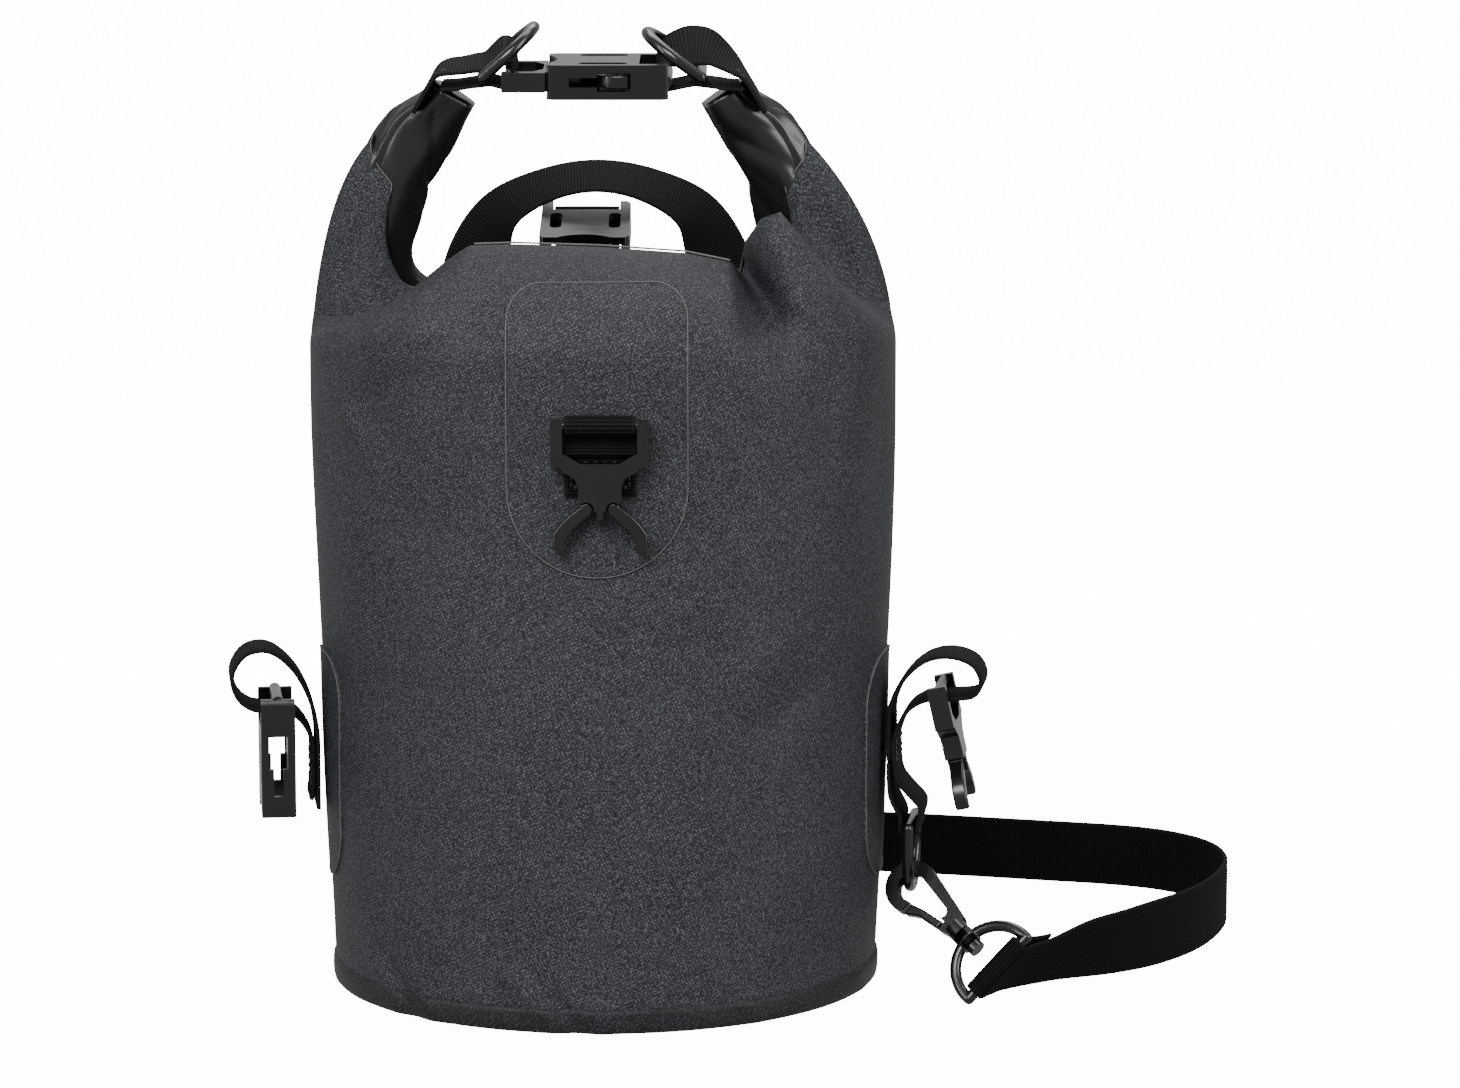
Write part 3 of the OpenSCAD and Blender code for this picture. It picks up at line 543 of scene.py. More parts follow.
# The line where the front fabric turns back, from the middle (0) to the side (1): share, x, y, z,
# and how deep the valley behind it is
TURN_RIGHT = [(0.0, 0, -42, 272.5, 16), (0.2, 30, -43, 270.5, 16), (0.34, 46.5, -48, 267.5, 16),
              (0.395, 49.5, -23, 262, 7), (0.45, 51.5, -35, 274, 12), (0.52, 57, -41, 282.5, 20),
              (0.60, 64, -43, 285, 25), (0.69, 71.5, -43, 276.5, 27), (0.77, 79, -41, 266.5, 24),
              (0.85, 87.5, -33, 257, 17), (0.93, 97, -19, 251, 8), (1.0, 104.5, -3, 248.5, 1)]
TURN_LEFT = [(0.0, 0, -42, 272.5, 16), (0.2, 30, -43, 273.5, 16), (0.34, 46.5, -43, 273, 18),
             (0.43, 55, -45, 267.5, 26), (0.55, 65.5, -47, 259, 30), (0.68, 78, -44, 251, 25),
             (0.80, 89, -34, 247.5, 15), (0.90, 98, -20, 246, 7), (1.0, 106, -3, 245, 1)]


def looked_up(table, at):
    """Smooth values between the rows of a table."""
    for r0, r1 in zip(table[:-1], table[1:]):
        if at <= r1[0]:
            k = ease((at - r0[0]) / (r1[0] - r0[0])) * 0.5 + 0.5 * (at - r0[0]) / (r1[0] - r0[0])
            return [mix(u, v, k) for u, v in zip(r0[1:], r1[1:])]
    return list(table[-1][1:])


def hermite(p0, m0, p1, m1, t):
    return ((2 * t ** 3 - 3 * t ** 2 + 1) * p0 + (t ** 3 - 2 * t ** 2 + t) * m0
            + (3 * t ** 2 - 2 * t ** 3) * p1 + (t ** 3 - t ** 2) * m1)


def side_end(share, front):
    """Where the fabric ends on the roll."""
    side, sign = abs(share), (1 if share > 0 else -1)
    s = sign * side * mix(1.0, TIP_SHARE, step(side, 0.45, 1.0)) * ROLL_HALF
    depth = max(0.4, (roll_radius(s) - 1.0) * math.sqrt(max(0.0, 1 - side ** 5)))
    _, out, _ = roll_frame(s)
    wrap = 13.0 * step(side, 0.86, 1.0) * (1 if out[0] * sign > 0 else -1)
    return roll_at(s) + np.array([0, -depth if front else depth, 0]) + out * wrap


def front_path(share, start, t):
    side, sign = abs(share), (1 if share > 0 else -1)
    x, y, z, deep = looked_up(TURN_RIGHT if share > 0 else TURN_LEFT, side)
    turn = np.array([sign * x, y, z])
    far = step(side, 0.55, 1.0)
    valley = turn + np.array([0, deep, -0.45 * deep])
    end = side_end(share, True)
    climb = np.linalg.norm(turn - start)
    if t < 0.5:
        over = np.array([0, mix(0.75, 0.4, far) * climb, mix(0.1, 0.25, far) * climb])
        return hermite(start, np.array([0, 0, climb * 1.15]), turn, over, t / 0.5)
    if t < 0.66:
        back = np.array([0, 1.25 * deep, mix(0.2, 1.0, far)])
        leave = np.array([0, 0.7 * deep, mix(-0.2 * deep, 0.0, far)])
        return hermite(turn, back, valley, leave, (t - 0.5) / 0.16)
    rest = np.linalg.norm(end - valley)
    lift = np.array([-sign * 0.12 * rest * far, 0.42 * rest * (1 - step(side, 0.86, 1.0)),
                     rest * mix(0.7, 1.05, far)])
    lean = np.array([-sign * 0.62 * rest * far, 0.1 * rest, rest * 0.6])
    return hermite(valley, lift, end, lean, (t - 0.66) / 0.34)


def fabric_point(a, t):
    """Above the shoulder: t runs from 0 at the shoulder to 1 at the roll."""
    front = a <= 0
    share = share_of(a)
    side = abs(share)
    start = body_point(a, SHOULDER_Z)
    body = math.sin(math.pi * min(1.0, t))
    edge = 1 - step(side, 0.93, 1.0)
    if front:
        p = front_path(share, start, t)
        shown = 1 - (1 - step(side, 0.4, 0.6)) * step(t, 0.5, 0.6)
        p = p + np.array([0, fold_depth(p[0], p[2]) * edge * shown * step(t, 0.0, 0.12), 0])
        p = p + body * edge * 0.9 * noise(share * 5, t * 3, 11) * np.array([0.2, -1, 0.4])
        p = p + body * 0.5 * noise(share * 14, t * 7, 13) * np.array([0, -1, 0.2])
        return p
    # the back climbs smoothly to the roll; at the sides it takes the front's line
    end = side_end(share, False)
    smooth = hermite(start, np.array([0, 0, 52.0]), end, np.array([0, -38.0, 10.0]), t)
    side_line = front_path(math.copysign(1.0, share), body_point(0 if share > 0 else -180, SHOULDER_Z), t)
    lift = side_line - hermite(body_point(0 if share > 0 else -180, SHOULDER_Z), np.array([0, 0, 52.0]),
                               side_end(math.copysign(1.0, share), False), np.array([0, -38.0, 10.0]), t)
    p = smooth + lift * step(side, 0.45, 1.0)
    p = p + body * edge * 1.6 * noise(share * 6, t * 3, 12) * np.array([0.2, 1, 0.3])
    gather = math.sin(share * 16 + 1.0) * bell(t - 0.55, 0.35) * 1.6
    return p + gather * edge * np.array([0, 1, 0.2])


BASE_R = 97.5           # radius of the flat of the base
BODY_ROWS = [0.6, 1.5, 3, 5, 7, 9.5] + list(np.arange(12.5, 235, 3.2))
TOP_ROWS = [k / 64 for k in range(65)]


def bag_shell():
    rows, heights = [], []
    for f in (0.02, 0.35, 0.7, 0.95):
        turns = [math.radians(a) for a in ANGLES]
        rows.append([np.array([BASE_R * f * math.cos(q), BASE_R * f * math.sin(q), 0.6]) for q in turns])
        heights.append(-98 * (1 - f))
    for z in BODY_ROWS:
        rows.append([body_point(a, z) for a in ANGLES])
        heights.append(z)
    for t in TOP_ROWS:
        rows.append([fabric_point(a, t) for a in ANGLES])
        heights.append(SHOULDER_Z + 75 * t)
    # the weave follows the real length of the cloth up each column
    pts = np.array(rows)
    base = sum(1 for h in heights if h < 0)
    gaps = np.linalg.norm(np.diff(pts, axis=0), axis=2)
    reach = np.concatenate([np.zeros((1, AROUND)), np.cumsum(gaps, axis=0)])
    reach -= reach[base]
    n = AROUND
    across = [math.radians(a) * 102 for a in ANGLES] + [math.pi * 102]
    faces = grid_faces(len(rows), n) + [tuple(range(n - 1, -1, -1))]
    uvs = [[(across[j], reach[i][j]), (across[j + 1], reach[i][(j + 1) % n]),
            (across[j + 1], reach[i + 1][(j + 1) % n]), (across[j], reach[i + 1][j])]
           for i in range(len(rows) - 1) for j in range(n)]
    uvs.append([(pts[0][j][0], pts[0][j][1]) for j in range(n - 1, -1, -1)])
    return build("bag_fabric", [p for r in rows for p in r], faces, "fabric", uvs)


def seam_and_highlight_lines():
    """The thin pale edge where the outer fabric ends on the horns, and a pale line along the top of the front
    fold that is a painted highlight.
    """
    lines = []
    for name, angles in (("left_rim", np.linspace(-180, -163, 14)), ("right_rim", np.linspace(0, -17, 14))):
        edge = []
        for a in angles:
            p, before = fabric_point(a, 1.0), fabric_point(a, 0.97)
            s = math.copysign(0.9, p[0] - ROLL_X0) * TIP_SHARE * ROLL_HALF
            away = unit((p - roll_at(s)) * np.array([1, 1, 0]) + np.array([0, -3.0, 0]))
            edge.append(p + away * 0.5 + unit(before - p) * 0.4)
        lines.append(rod_along(name, edge, 0.22, "line", sides=6, gap=1.0))
    # a pale line along the crest of the front fold: a painted highlight where light catches the fold
    fold = [front_path(share, body_point(-90 + 90 * share, SHOULDER_Z), 0.5) + np.array([0, 1.4, 0.55])
            for share in np.linspace(-0.32, 0.335, 40)]
    lines.append(rod_along("fold_highlight_line", fold, 0.4, "line", sides=6, gap=1.2))
    return lines


def roll_frame(s):
    d = unit(roll_at(s + 0.5) - roll_at(s - 0.5))
    out = unit(np.cross([0, 1, 0], d))
    if out[2] > 0 and abs(s) < 60:
        out = -out
    back = np.cross(d, out)
    return d, out, back


def roll_liner():
    """The rolled rim: shiny, creased on the horns, with the free edge of the roll as a step in it."""
    steps, sides = 240, 84
    reach = 0.92 * ROLL_HALF
    rings, along = [], []
    for i in range(steps + 1):
        s = mix(-reach, reach, i / steps)
        _, out, back = roll_frame(s)
        k = abs(s) / ROLL_HALF
        tip = step(k, 0.8, 0.92)
        wide = mix(9.5, 13.4, step(k, 0.45, 0.7))
        deep = mix(mix(8.5, 6.6, step(k, 0.4, 0.8)), 11.5, tip)
        outer, inner = mix(wide, 6.5, tip), mix(wide, 12.0, tip)
        ring = []
        for j in range(sides):
            q = 2 * math.pi * j / sides
            # the spiral's free edge: the radius drops by the fabric's thickness after one turn
            spiral = 1.0 - 0.13 * ((j + 12) % sides) / sides
            fold = 1 + 0.05 * math.sin(3 * q + s / 19) + 0.04 * math.sin(5 * q - s / 11 + 1)
            twist = math.copysign(1.0, s) * q * 1.5 + abs(s) / 10.5
            crease = (0.11 * (0.6 - abs(math.sin(twist)) ** 0.6)
                      + 0.05 * (0.6 - abs(math.sin(2.3 * twist + 1)) ** 0.5))
            m = spiral * (fold - crease * step(k, 0.5, 0.62) * (1 - 0.7 * tip))
            x = (outer if math.cos(q) > 0 else inner) * math.cos(q)
            ring.append(roll_at(s) + out * m * x + back * deep * m * math.sin(q))
        rings.append(ring)
        along.append(s)
    across = [20 * 2 * math.pi * j / sides / 2 for j in range(sides + 1)]
    return lofted("roll_liner", rings, "liner", across, along)


# ------------------------------------------------------------------ patches welded to the bag
def tree_of(obj):
    mesh = obj.data
    return BVHTree.FromPolygons([v.co[:] for v in mesh.vertices], [p.vertices[:] for p in mesh.polygons])


def rounded_outline(w, h, r_low, r_high, n=16):
    """The outline of a patch from its lower left corner round, (x, z) from the middle of its foot."""
    corners = []
    for cx, cz, r, a0 in ((w / 2 - r_low, r_low, r_low, -90), (w / 2 - r_high, h - r_high, r_high, 0),
                          (-w / 2 + r_high, h - r_high, r_high, 90), (-w / 2 + r_low, r_low, r_low, 180)):
        turns = [math.radians(a0 + 90 * k / n) for k in range(n + 1)]
        corners.append([(cx + r * math.cos(q), cz + r * math.sin(q)) for q in turns])
    out = []
    for now, after in zip(corners, corners[1:] + corners[:1]):
        out += now
        (x0, z0), (x1, z1) = now[-1], after[0]
        count = int(math.hypot(x1 - x0, z1 - z0) / 2.5)
        out += [(mix(x0, x1, k / (count + 1)), mix(z0, z1, k / (count + 1))) for k in range(1, count + 1)]
    return out


def on_surface(tree, start, direction, lift):
    """The point of the fabric met by a ray, in mm, raised by lift."""
    hit, normal, _, _ = tree.ray_cast(Vector(start * MM), Vector(direction))
    if hit is None:
        return None
    hit, normal = np.array(hit) / MM, np.array(normal)
    if np.dot(normal, direction) > 0:
        normal = -normal
    return hit + normal * lift


def patch(name, tree, place, direction, outline, thick=0.8, rings=26):
    """A thin sheet that follows the fabric, with a rounded edge. place maps (x, z) to a start point."""
    n = len(outline)
    cx = sum(p[0] for p in outline) / n
    cz = sum(p[1] for p in outline) / n
    verts, uv, rows = [], [], []
    shares = [0.02] + [k / rings for k in range(1, rings)] + [0.985, 0.996, 1.0]
    lifts = [thick] * (len(shares) - 2) + [thick * 0.75, -0.3]
    for f, lift in zip(shares, lifts):
        row = []
        for x, z in outline:
            q = (cx + (x - cx) * f, cz + (z - cz) * f)
            p = on_surface(tree, place(*q), direction, lift)
            row.append(p if p is not None else rows[-1][len(row)])
            uv.append(q)
        rows.append(row)
    verts = [p for r in rows for p in r]
    faces = grid_faces(len(rows), n) + [tuple(range(n - 1, -1, -1))]
    obj = build(name, verts, faces, "patch", [[uv[v] for v in f] for f in faces])
    # the pale line where the patch's edge is welded down
    edge = []
    for x, z in outline + outline[:1]:
        p = on_surface(tree, place(cx + (x - cx) * 0.994, cz + (z - cz) * 0.994), direction, thick)
        if p is not None:
            edge.append(p)
    return [obj, rod_along(name + "_edge", edge, 0.2, "line", sides=6, gap=1.2)]


def make_patches(shell):
    tree = tree_of(shell)
    out = []
    out += patch("front_patch", tree, lambda x, z: np.array([x, -160.0, 161 + z]), (0, 1, 0),
                 rounded_outline(63, 101, 31, 12))
    out += patch("back_patch", tree, lambda x, z: np.array([ROLL_X0 + x, 160.0, 188 + z]), (0, -1, 0),
                 rounded_outline(136, 46, 12, 12))
    for name, turn in (("right_patch", -8), ("left_patch", 188)):
        t = math.radians(turn)
        radial = np.array([math.cos(t), math.sin(t), 0])
        tangent = np.array([-math.sin(t), math.cos(t), 0])
        out += patch(name, tree, lambda x, z, r=radial, g=tangent: r * 160 + g * x + np.array([0, 0, 41 + z]),
                     tuple(-radial), rounded_outline(52, 83, 20, 20))
    return out


# The band's section: height and how far it stands out of the wall
HEM_FORM = [(0.2, -1.5), (0.5, 0.2), (1.2, 0.8), (3, 1.1), (5, 1.1), (7.2, 1.0), (8.6, 0.8), (9.2, 0.1)]


def base_hem():
    """The welded band round the foot, with the same puckers as the wall above it."""
    rows = []
    for z, off in HEM_FORM:
        row = []
        for a in ANGLES:
            r = math.radians(a)
            out = body_relief(a, max(z, 3)) * 0.8 + off
            row.append(np.array([(body_a(z) + out) * math.cos(r), (body_b(z) + out) * math.sin(r), z]))
        rows.append(row)
    across = [math.radians(a) * 102 for a in ANGLES] + [math.pi * 102]
    return lofted("base_hem_band", rows, "hem", across, list(range(len(rows))), caps=False)


# ------------------------------------------------------------------ webbing
def arc_points(c, r, a0, a1, n):
    turns = [math.radians(mix(a0, a1, i / n)) for i in range(n + 1)]
    return [(c[0] + r * math.cos(q), c[1] + r * math.sin(q)) for q in turns]


def stitches(name, lines, up, gap=3.1, length=2.0, radius=0.24, mat="thread"):
    """Rows of sewn stitches: short rounded threads that dip at both ends."""
    verts, faces = [], []
    up = unit(np.array(up, float))
    for line in lines:
        pts, _, _ = even(line, line, gap)
        for a, b in zip(pts[:-1], pts[1:]):
            d = unit(b - a)
            side = unit(np.cross(up, d))
            mid = (a + b) / 2
            base = len(verts)
            for k in range(5):
                f = k / 4 - 0.5
                rad = radius * (1.0 if k in (1, 2, 3) else 0.45)
                c = mid + d * f * length - up * (abs(f) ** 2) * 1.0
                for j in range(6):
                    q = math.pi * j / 3
                    verts.append(c + rad * (math.cos(q) * side + math.sin(q) * up))
            for k in range(4):
                for j in range(6):
                    faces.append((base + k * 6 + j, base + k * 6 + (j + 1) % 6,
                                  base + (k + 1) * 6 + (j + 1) % 6, base + (k + 1) * 6 + j))
            faces.append(tuple(base + j for j in range(5, -1, -1)))
            faces.append(tuple(base + 24 + j for j in range(6)))
    return build(name, verts, faces, mat)


def box_cross(centre, across, along, w, h):
    """A sewn box with a cross in it."""
    c, x, y = np.array(centre, float), np.array(across, float), np.array(along, float)
    p = [c - x * w / 2 - y * h / 2, c + x * w / 2 - y * h / 2,
         c + x * w / 2 + y * h / 2, c - x * w / 2 + y * h / 2]
    return [[p[0], p[1]], [p[1], p[2]], [p[2], p[3]], [p[3], p[0]], [p[0], p[2]], [p[1], p[3]]]


FRONT_X = 1.3
BAR_R = 1.7
FEMALE_BAR_R = 2.2
GAP = 0.3


def front_tab():
    face = -(body_b(215) + 0.8)
    bar = (face - 5.7, 215.0)
    flat = face - WEB_T / 2 - 0.2
    yz = [(-(body_b(192) + 0.8) - WEB_T / 2 - 0.2, 190), (flat, 206), (flat, 213)]
    yz += arc_points(bar, BAR_R + GAP + WEB_T / 2, 20, 262, 14)
    yz += [(flat - WEB_T * 1.02, 210.0), (flat - WEB_T * 1.04, 204)]
    tab = ribbon("front_tab_web", [(FRONT_X, y, z) for y, z in yz], [(1, 0, 0)] * len(yz), gap=0.8, steps=3)
    y = flat - WEB_T / 2 - 0.1
    sewn = stitches("front_tab_stitches",
                    box_cross((FRONT_X, y - 0.1, 197.5), (1, 0, 0), (0, 0, 1), 20, 9), (0, -1, 0))
    return joined("front_tab_web", [tab, sewn])


def rear_strap():
    bar = (96.0, 274.4)
    back = body_b(215) + 0.8 + WEB_T / 2 + 0.2
    yz = [(back + 0.5, 196), (back, 215), (back + 0.6, 236), (back + 4, 256)]
    yz += arc_points(bar, FEMALE_BAR_R + GAP + WEB_T / 2, 5, 190, 10)
    yz += [(back + 0.8, 266), (back + 1.9, 255), (back - 0.2, 244)]
    x = ROLL_X0 - 4
    web = ribbon("rear_strap_web", [(x, y, z) for y, z in yz], [(1, 0, 0)] * len(yz), gap=0.8, steps=4)
    sewn = stitches("rear_stitches",
                    box_cross((x, back + WEB_T / 2 + 0.4, 207), (1, 0, 0), (0, 0, 1), 20, 16), (0, 1, 0))
    return joined("rear_strap_web", [web, sewn])


HANDLE_Y = body_b(215) + 0.8 + WEB_T / 2 + 0.4
HANDLE_L = ROLL_X0 - 49
HANDLE_R = ROLL_X0 + 49


def handle():
    mid = (HANDLE_L + HANDLE_R) / 2
    # one half, from the left foot to the crest: x from the foot, y from the wall, z, direction of the width
    half = [(0, 0, 198, (-1, 0, 0)), (0, 0, 216, (-1, 0, 0)), (0, 0, 235.2, (-1, 0, 0)),
            (0, 0.5, 246, (-1, 0.05, 0)), (3, 1.5, 260, (-0.9, 0.3, 0.1)),
            (12, -0.5, 277, (-0.55, 0.75, 0.35)), (30, -2.5, 287, (-0.2, 0.88, 0.42))]
    pts = [(HANDLE_L + x, HANDLE_Y + y, z) for x, y, z, _ in half]
    pts += [(mid, HANDLE_Y - 3, 290.4)]
    pts += [(HANDLE_R - x, HANDLE_Y + y, z) for x, y, z, _ in reversed(half)]
    dirs = [d for _, _, _, d in half] + [(0, 0.9, 0.42)]
    dirs += [(-d[0], d[1], d[2]) for _, _, _, d in reversed(half)]
    web = ribbon("handle_web", pts, dirs, gap=1.2)
    lines = []
    for x in (HANDLE_L, HANDLE_R):
        lines += box_cross((x, HANDLE_Y + WEB_T / 2 + 0.05, 210), (1, 0, 0), (0, 0, 1), 20, 18)
    sewn = stitches("handle_stitches", lines, (0, 1, 0))
    return joined("handle_web", [web, sewn])


def side_frame(side):
    """Maps (u, v, z) to the bag's frame: u out from the axis, v along the wall."""
    t = math.radians(-8 if side > 0 else 188)
    radial = np.array([math.cos(t), math.sin(t), 0])
    tangent = np.array([-math.sin(t), math.cos(t), 0])
    return lambda u, v, z: radial * u + tangent * v + np.array([0, 0, z]), tangent, radial


SIDE_U = 106.6


def right_web():
    at, tangent, radial = side_frame(1)
    low = WEB_T + 0.2
    m = np.array([124.4, 110.4])
    wrap = RING_ROD + GAP + WEB_T / 2
    uz = [(SIDE_U, 84), (SIDE_U, 90), (SIDE_U, 96), (107, 104), (111.5, 113.5), (119, 120.6), (128, 122.8),
          (136.5, 120.2), (140, 114), (137.6, 108.6), (m[0] + 6.6, m[1] - 3),
          (m[0], m[1] - BAR_R - GAP - WEB_T / 2 - 0.4), (m[0] - 6, m[1] - 4.4), (112.5, 101.5),
          (SIDE_U + low, 92), (SIDE_U + low, 84), (109.6, 77), (114, 71.5), (118.2, 66.5)]
    uz += arc_points((114, 59.5), wrap, 15, -195, 12)
    uz += [(110.6, 63.5), (107.4, 70), (SIDE_U, 77), (SIDE_U, 83)]
    web = ribbon("right_side_loop", [at(u, 0, z) for u, z in uz], [tangent] * len(uz), gap=0.9, steps=4)
    u = SIDE_U + low + WEB_T / 2 + 0.1
    sewn = stitches("right_stitches", box_cross(at(u, 0, 87.5), tangent, (0, 0, 1), 20, 8), radial)
    return joined("right_side_loop", [web, sewn])


def left_web():
    at, tangent, radial = side_frame(-1)
    low = WEB_T + 0.2
    f = np.array([121.2, 106.6])
    uz = [(SIDE_U, 66), (SIDE_U, 74), (SIDE_U, 84), (SIDE_U + 0.2, 95), (109.5, 107), (115.5, 118),
          (124, 124.6), (132.5, 123.4), (137.3, 116), (135.6, 107.8), (129.5, 103.2),
          (f[0], f[1] - FEMALE_BAR_R - GAP - WEB_T / 2 - 0.3), (114, 100.4),
          (SIDE_U + low + 0.6, 92.5), (SIDE_U + low, 84), (SIDE_U + low, 76), (SIDE_U + low + 0.8, 69.5)]
    web = ribbon("left_side_loop", [at(u, 0, z) for u, z in uz], [tangent] * len(uz), gap=0.9, steps=4)
    u = SIDE_U + low + WEB_T / 2 + 0.1
    sewn = stitches("left_stitches", box_cross(at(u, 0, 80), tangent, (0, 0, 1), 20, 12), radial)
    return joined("left_side_loop", [web, sewn])


TOP_TILT = math.radians(6)
PARTING_X = -19.2       # where the two halves of the closure meet
MALE_BAR = 14.3         # from there to each half's web bar
FEMALE_BAR = 42.6
LEFT_RING_X = -41.8
RIGHT_RING_X = 35.8
RING_DZ = 1.6           # the rings' bars lie this much above the buckle's middle
RING_ROD = 2.1          # radius of every ring's rod
TOP_AT = np.array([0, -18, 332.0])


def on_closure(x, y, z):
    c, s = math.cos(TOP_TILT), math.sin(TOP_TILT)
    return TOP_AT + np.array([x, y * c - z * s, y * s + z * c])


# The slack upper layer of each tail, from the outer face of the tip to the buckle's bar (x, z)
LEFT_UPPER = [(-67.0, -11.5), (-62.8, -4.5), (-59.0, 1.6), (-55.0, 3.4), (-50.0, 4.0), (-45.5, 4.8),
              (-41.8, 5.4), (-38.0, 8.2), (-34.8, 10.0), (-32.2, 8.4), (-31.2, 4.6)]
RIGHT_UPPER = [(58.6, -11.5), (54.8, -5.0), (51.2, 0.6), (48.2, 3.6), (44.0, 7.0), (38.5, 10.4), (32.0, 11.2),
               (26.5, 9.8), (22.4, 7.6), (20.7, 4.0)]


def closure_tail(name, upper, ring_x, bar_x, bar_r, side):
    """Webbing from the tip of the roll through the D-ring and round the buckle's bar, and back."""
    width = on_closure(0, 1, 0) - on_closure(0, 0, 0)
    wrap = bar_r + GAP + WEB_T / 2
    rw = RING_ROD + GAP + WEB_T / 2
    dz = RING_DZ
    xz = list(upper)
    xz += [(bar_x - side * wrap * math.sin(q), wrap * math.cos(q)) for q in (1.57, 2.1, 2.6, 3.14)]
    xz += [(ring_x - side * 3, dz - rw * 0.95), (ring_x, dz - rw), (ring_x + side * 5, -2.2),
           (ring_x + side * 10.5, -3.0), (ring_x + side * 15.5, -3.2)]
    pts = [on_closure(x, 0, z) for x, z in xz]
    raised = [max(0.0, z) / 11 for _, z in xz]
    dirs = [width + np.array([0, 0, mix(0.28, 0.5, (side + 1) / 2) * k]) for k in raised]
    web = ribbon(name, pts, dirs, gap=0.7, steps=4)
    rows = [[on_closure(x, y, z + WEB_T / 2) for x, z in xz[1:4]] for y in (-10.0, 0.0, 10.0)]
    sewn = stitches(name + "_stitches", rows, (-0.8 * -side, 0, 0.6))
    return joined(name, [web, sewn])


EYE = np.array([143.0, -47.0, 11.6])


def hook_axes():
    y = math.radians(8)
    radial = np.array([math.cos(y), -math.sin(y), 0])
    tangent = np.array([math.sin(y), math.cos(y), 0])
    lean = math.radians(15)
    clip = 114 * radial + np.array([0, 0, 59.5 - 9 - 15 * math.cos(lean)]) - 15 * math.sin(lean) * tangent
    z = unit(clip - EYE)
    e = np.array([0.71, 0.1, 0.69])
    x = unit(e - np.dot(e, z) * z)
    return x, np.cross(z, x), z, clip


# Where the strap stands on the floor, from the hook round behind the bag to its back (x, y)
STRAP_FLOOR = [(172, -24), (190, -10), (206, 6), (222, 28), (234, 56), (240, 84), (237, 110), (224, 131),
               (203, 144), (170, 154), (131, 165), (100, 172), (60, 175), (0, 171), (-50, 160), (-78, 146),
               (-84, 137), (-76, 129), (-50, 127), (0, 132), (40, 135), (57, 132), (62, 124), (54, 115),
               (28, 108), (0, 102.9)]


def shoulder_strap():
    hook_x, _, _, _ = hook_axes()
    run = np.array([0.75, 0.65, 0])
    perp = unit(run - np.dot(run, hook_x) * hook_x)
    normal = np.cross(hook_x, perp)
    wrap_r = RING_ROD + GAP + WEB_T / 2
    wrap = [EYE + wrap_r * (math.cos(q) * normal - math.sin(q) * perp)
            for q in (math.radians(a) for a in range(0, 181, 20))]
    end = [EYE + 17 * run + 1.5 * normal, EYE + 12 * run + 1.4 * normal, EYE + 6 * run + 2.2 * normal]
    out = [EYE + 6 * run - 2.1 * normal, EYE + 15 * run - 1.2 * normal]
    floor = [np.array([x, y, WEB_W / 2 + 0.35]) for x, y in STRAP_FLOOR]
    pts = end + wrap + out + floor
    dirs = []
    for i in range(len(pts)):
        k = min(1.0, max(0.0, (i - len(end) - len(wrap) - 1) / 3))
        dirs.append(mix(hook_x, np.array([0, 0, 1.0]), k))
    strap = ribbon("shoulder_strap_web", pts, dirs, mat="strap", gap=1.4, steps=5, skew=True)
    lines = []
    for offset in (9.0, 11.5):
        a = EYE + run * offset + normal * 2.45
        lines.append([a - hook_x * 10.5, a + hook_x * 10.5])
    sewn = stitches("strap_stitches", lines, normal)
    strap = joined("shoulder_strap_web", [strap, sewn])
    # the strap leaves the bag's back and ends in the swivel hook
    return strap


# ------------------------------------------------------------------ plastic parts
EDGE_R = 0.75           # how far the moulded edges are rounded


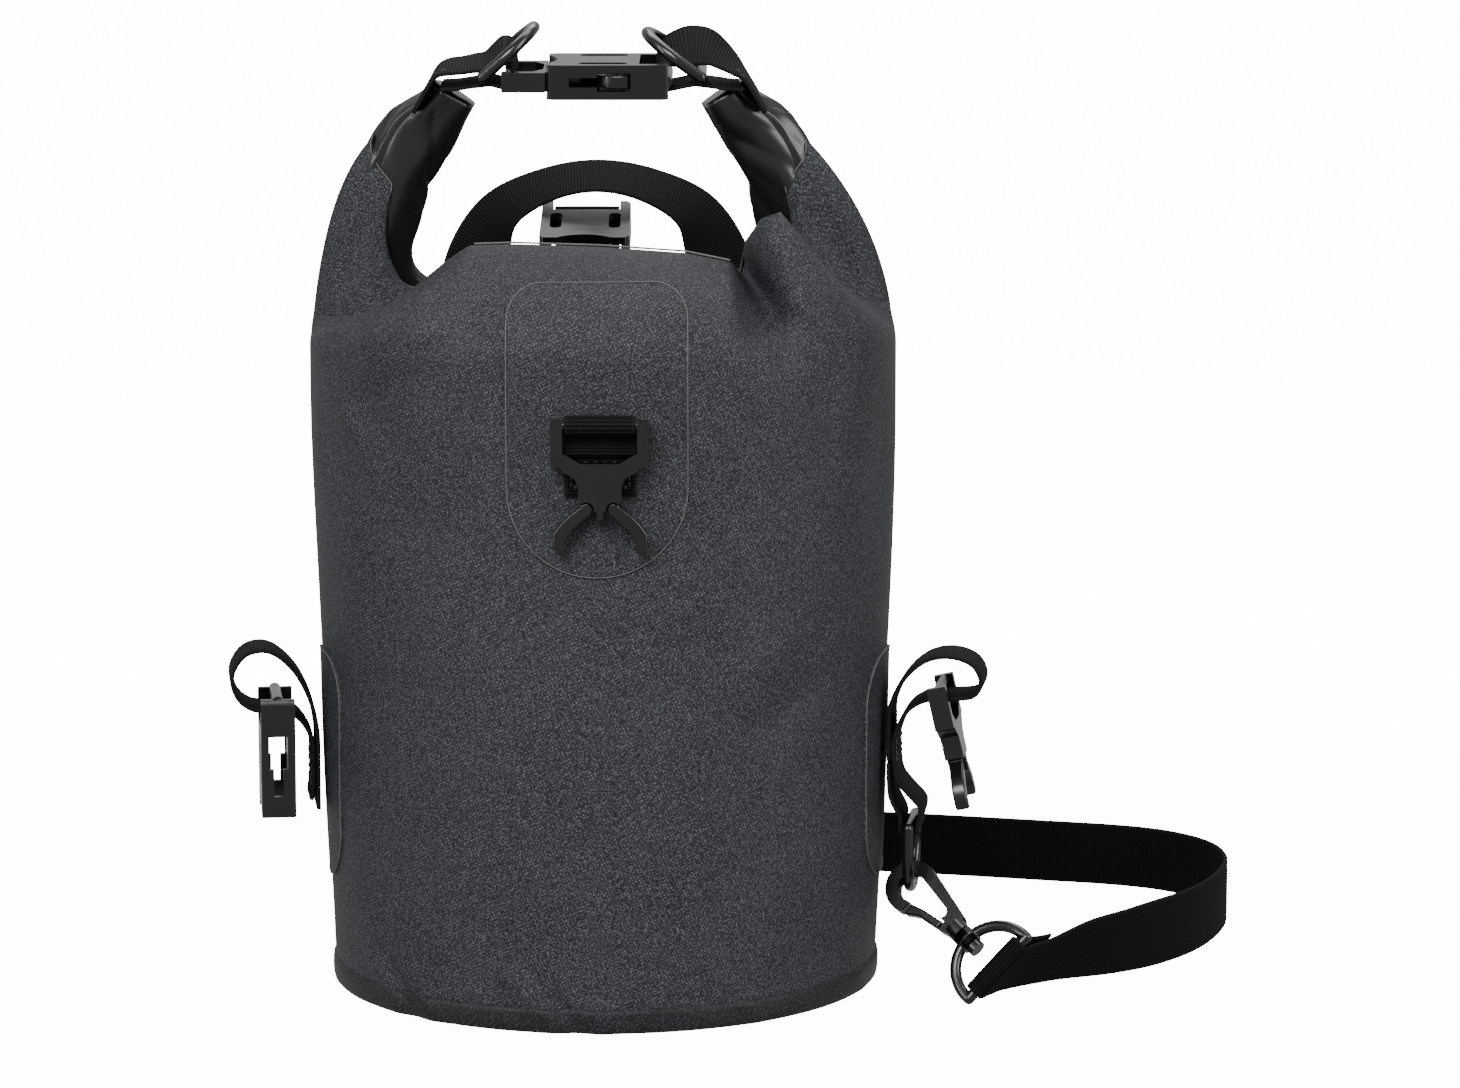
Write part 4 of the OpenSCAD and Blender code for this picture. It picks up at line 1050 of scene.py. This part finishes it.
def finish_plastic(name, mat, bevel):
    """Rounds the edges of a CAD part and gives it its finish; the CAD mesh itself stays as it is."""
    obj = NODES[name]
    obj.data.materials.clear()
    obj.data.materials.append(MAT[mat])
    obj.data.polygons.foreach_set("use_smooth", [True] * len(obj.data.polygons))
    weld = obj.modifiers.new("weld", "WELD")
    weld.merge_threshold = 0.00002
    flat = obj.modifiers.new("flat", "DECIMATE")
    flat.decimate_type = "DISSOLVE"
    flat.angle_limit = math.radians(1.0)
    if bevel:
        b = obj.modifiers.new("bevel", "BEVEL")
        b.width = bevel * MM
        b.segments = 3
        b.limit_method = "ANGLE"
        b.angle_limit = math.radians(38)
        b.harden_normals = False
    n = obj.modifiers.new("normals", "WEIGHTED_NORMAL")
    n.keep_sharp = False
    n.weight = 60


def main():
    make_camera()
    make_stage()
    shell = bag_shell()
    patches = make_patches(shell)
    hem = base_hem()
    liner = roll_liner()
    shell = joined("bag_fabric", [shell] + seam_and_highlight_lines())
    # the built fabric and rim liner stay fixed and take the place of these parts
    for obj, nodes in ((shell, ("bag_tube", "bag_top", "base_disc")), (liner, ("left_roll_end",))):
        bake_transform(obj)
        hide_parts(*nodes)
    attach(hem, "bag")
    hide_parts("base_hem")
    for p in patches:
        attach(p, "bag")
        if not p.name.endswith("_edge"):
            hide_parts(p.name.split(".")[0])
    for make, node in ((front_tab, "front_tab"), (rear_strap, "rear_strap"), (right_web, "right_side_web"),
                       (left_web, "left_side_web"), (shoulder_strap, "shoulder_strap")):
        obj = make()
        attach(obj, "bag")
        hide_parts(node)
    grip = handle()
    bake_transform(grip)
    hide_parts("handle", "handle_left_anchor", "handle_right_anchor")
    for name, node, body, upper, ring_x, bar_x, bar_r, side in (
            ("left_tail_web", "left_tail", "closure_left_end", LEFT_UPPER,
             LEFT_RING_X, PARTING_X - MALE_BAR, BAR_R, -1),
            ("right_tail_web", "right_tail", "bag", RIGHT_UPPER,
             RIGHT_RING_X, PARTING_X + FEMALE_BAR, FEMALE_BAR_R, 1)):
        tail = closure_tail(name, upper, ring_x, bar_x, bar_r, side)
        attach(tail, body)
        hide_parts(node)
    rings = ("left_top_d_ring", "right_top_d_ring", "side_d_ring", "swivel_eye")
    for name in NODES:
        if not NODES[name].hide_render:
            is_ring = name in rings
            finish_plastic(name, "ring" if is_ring or "hook" in name else "plastic", 0 if is_ring else EDGE_R)


main()
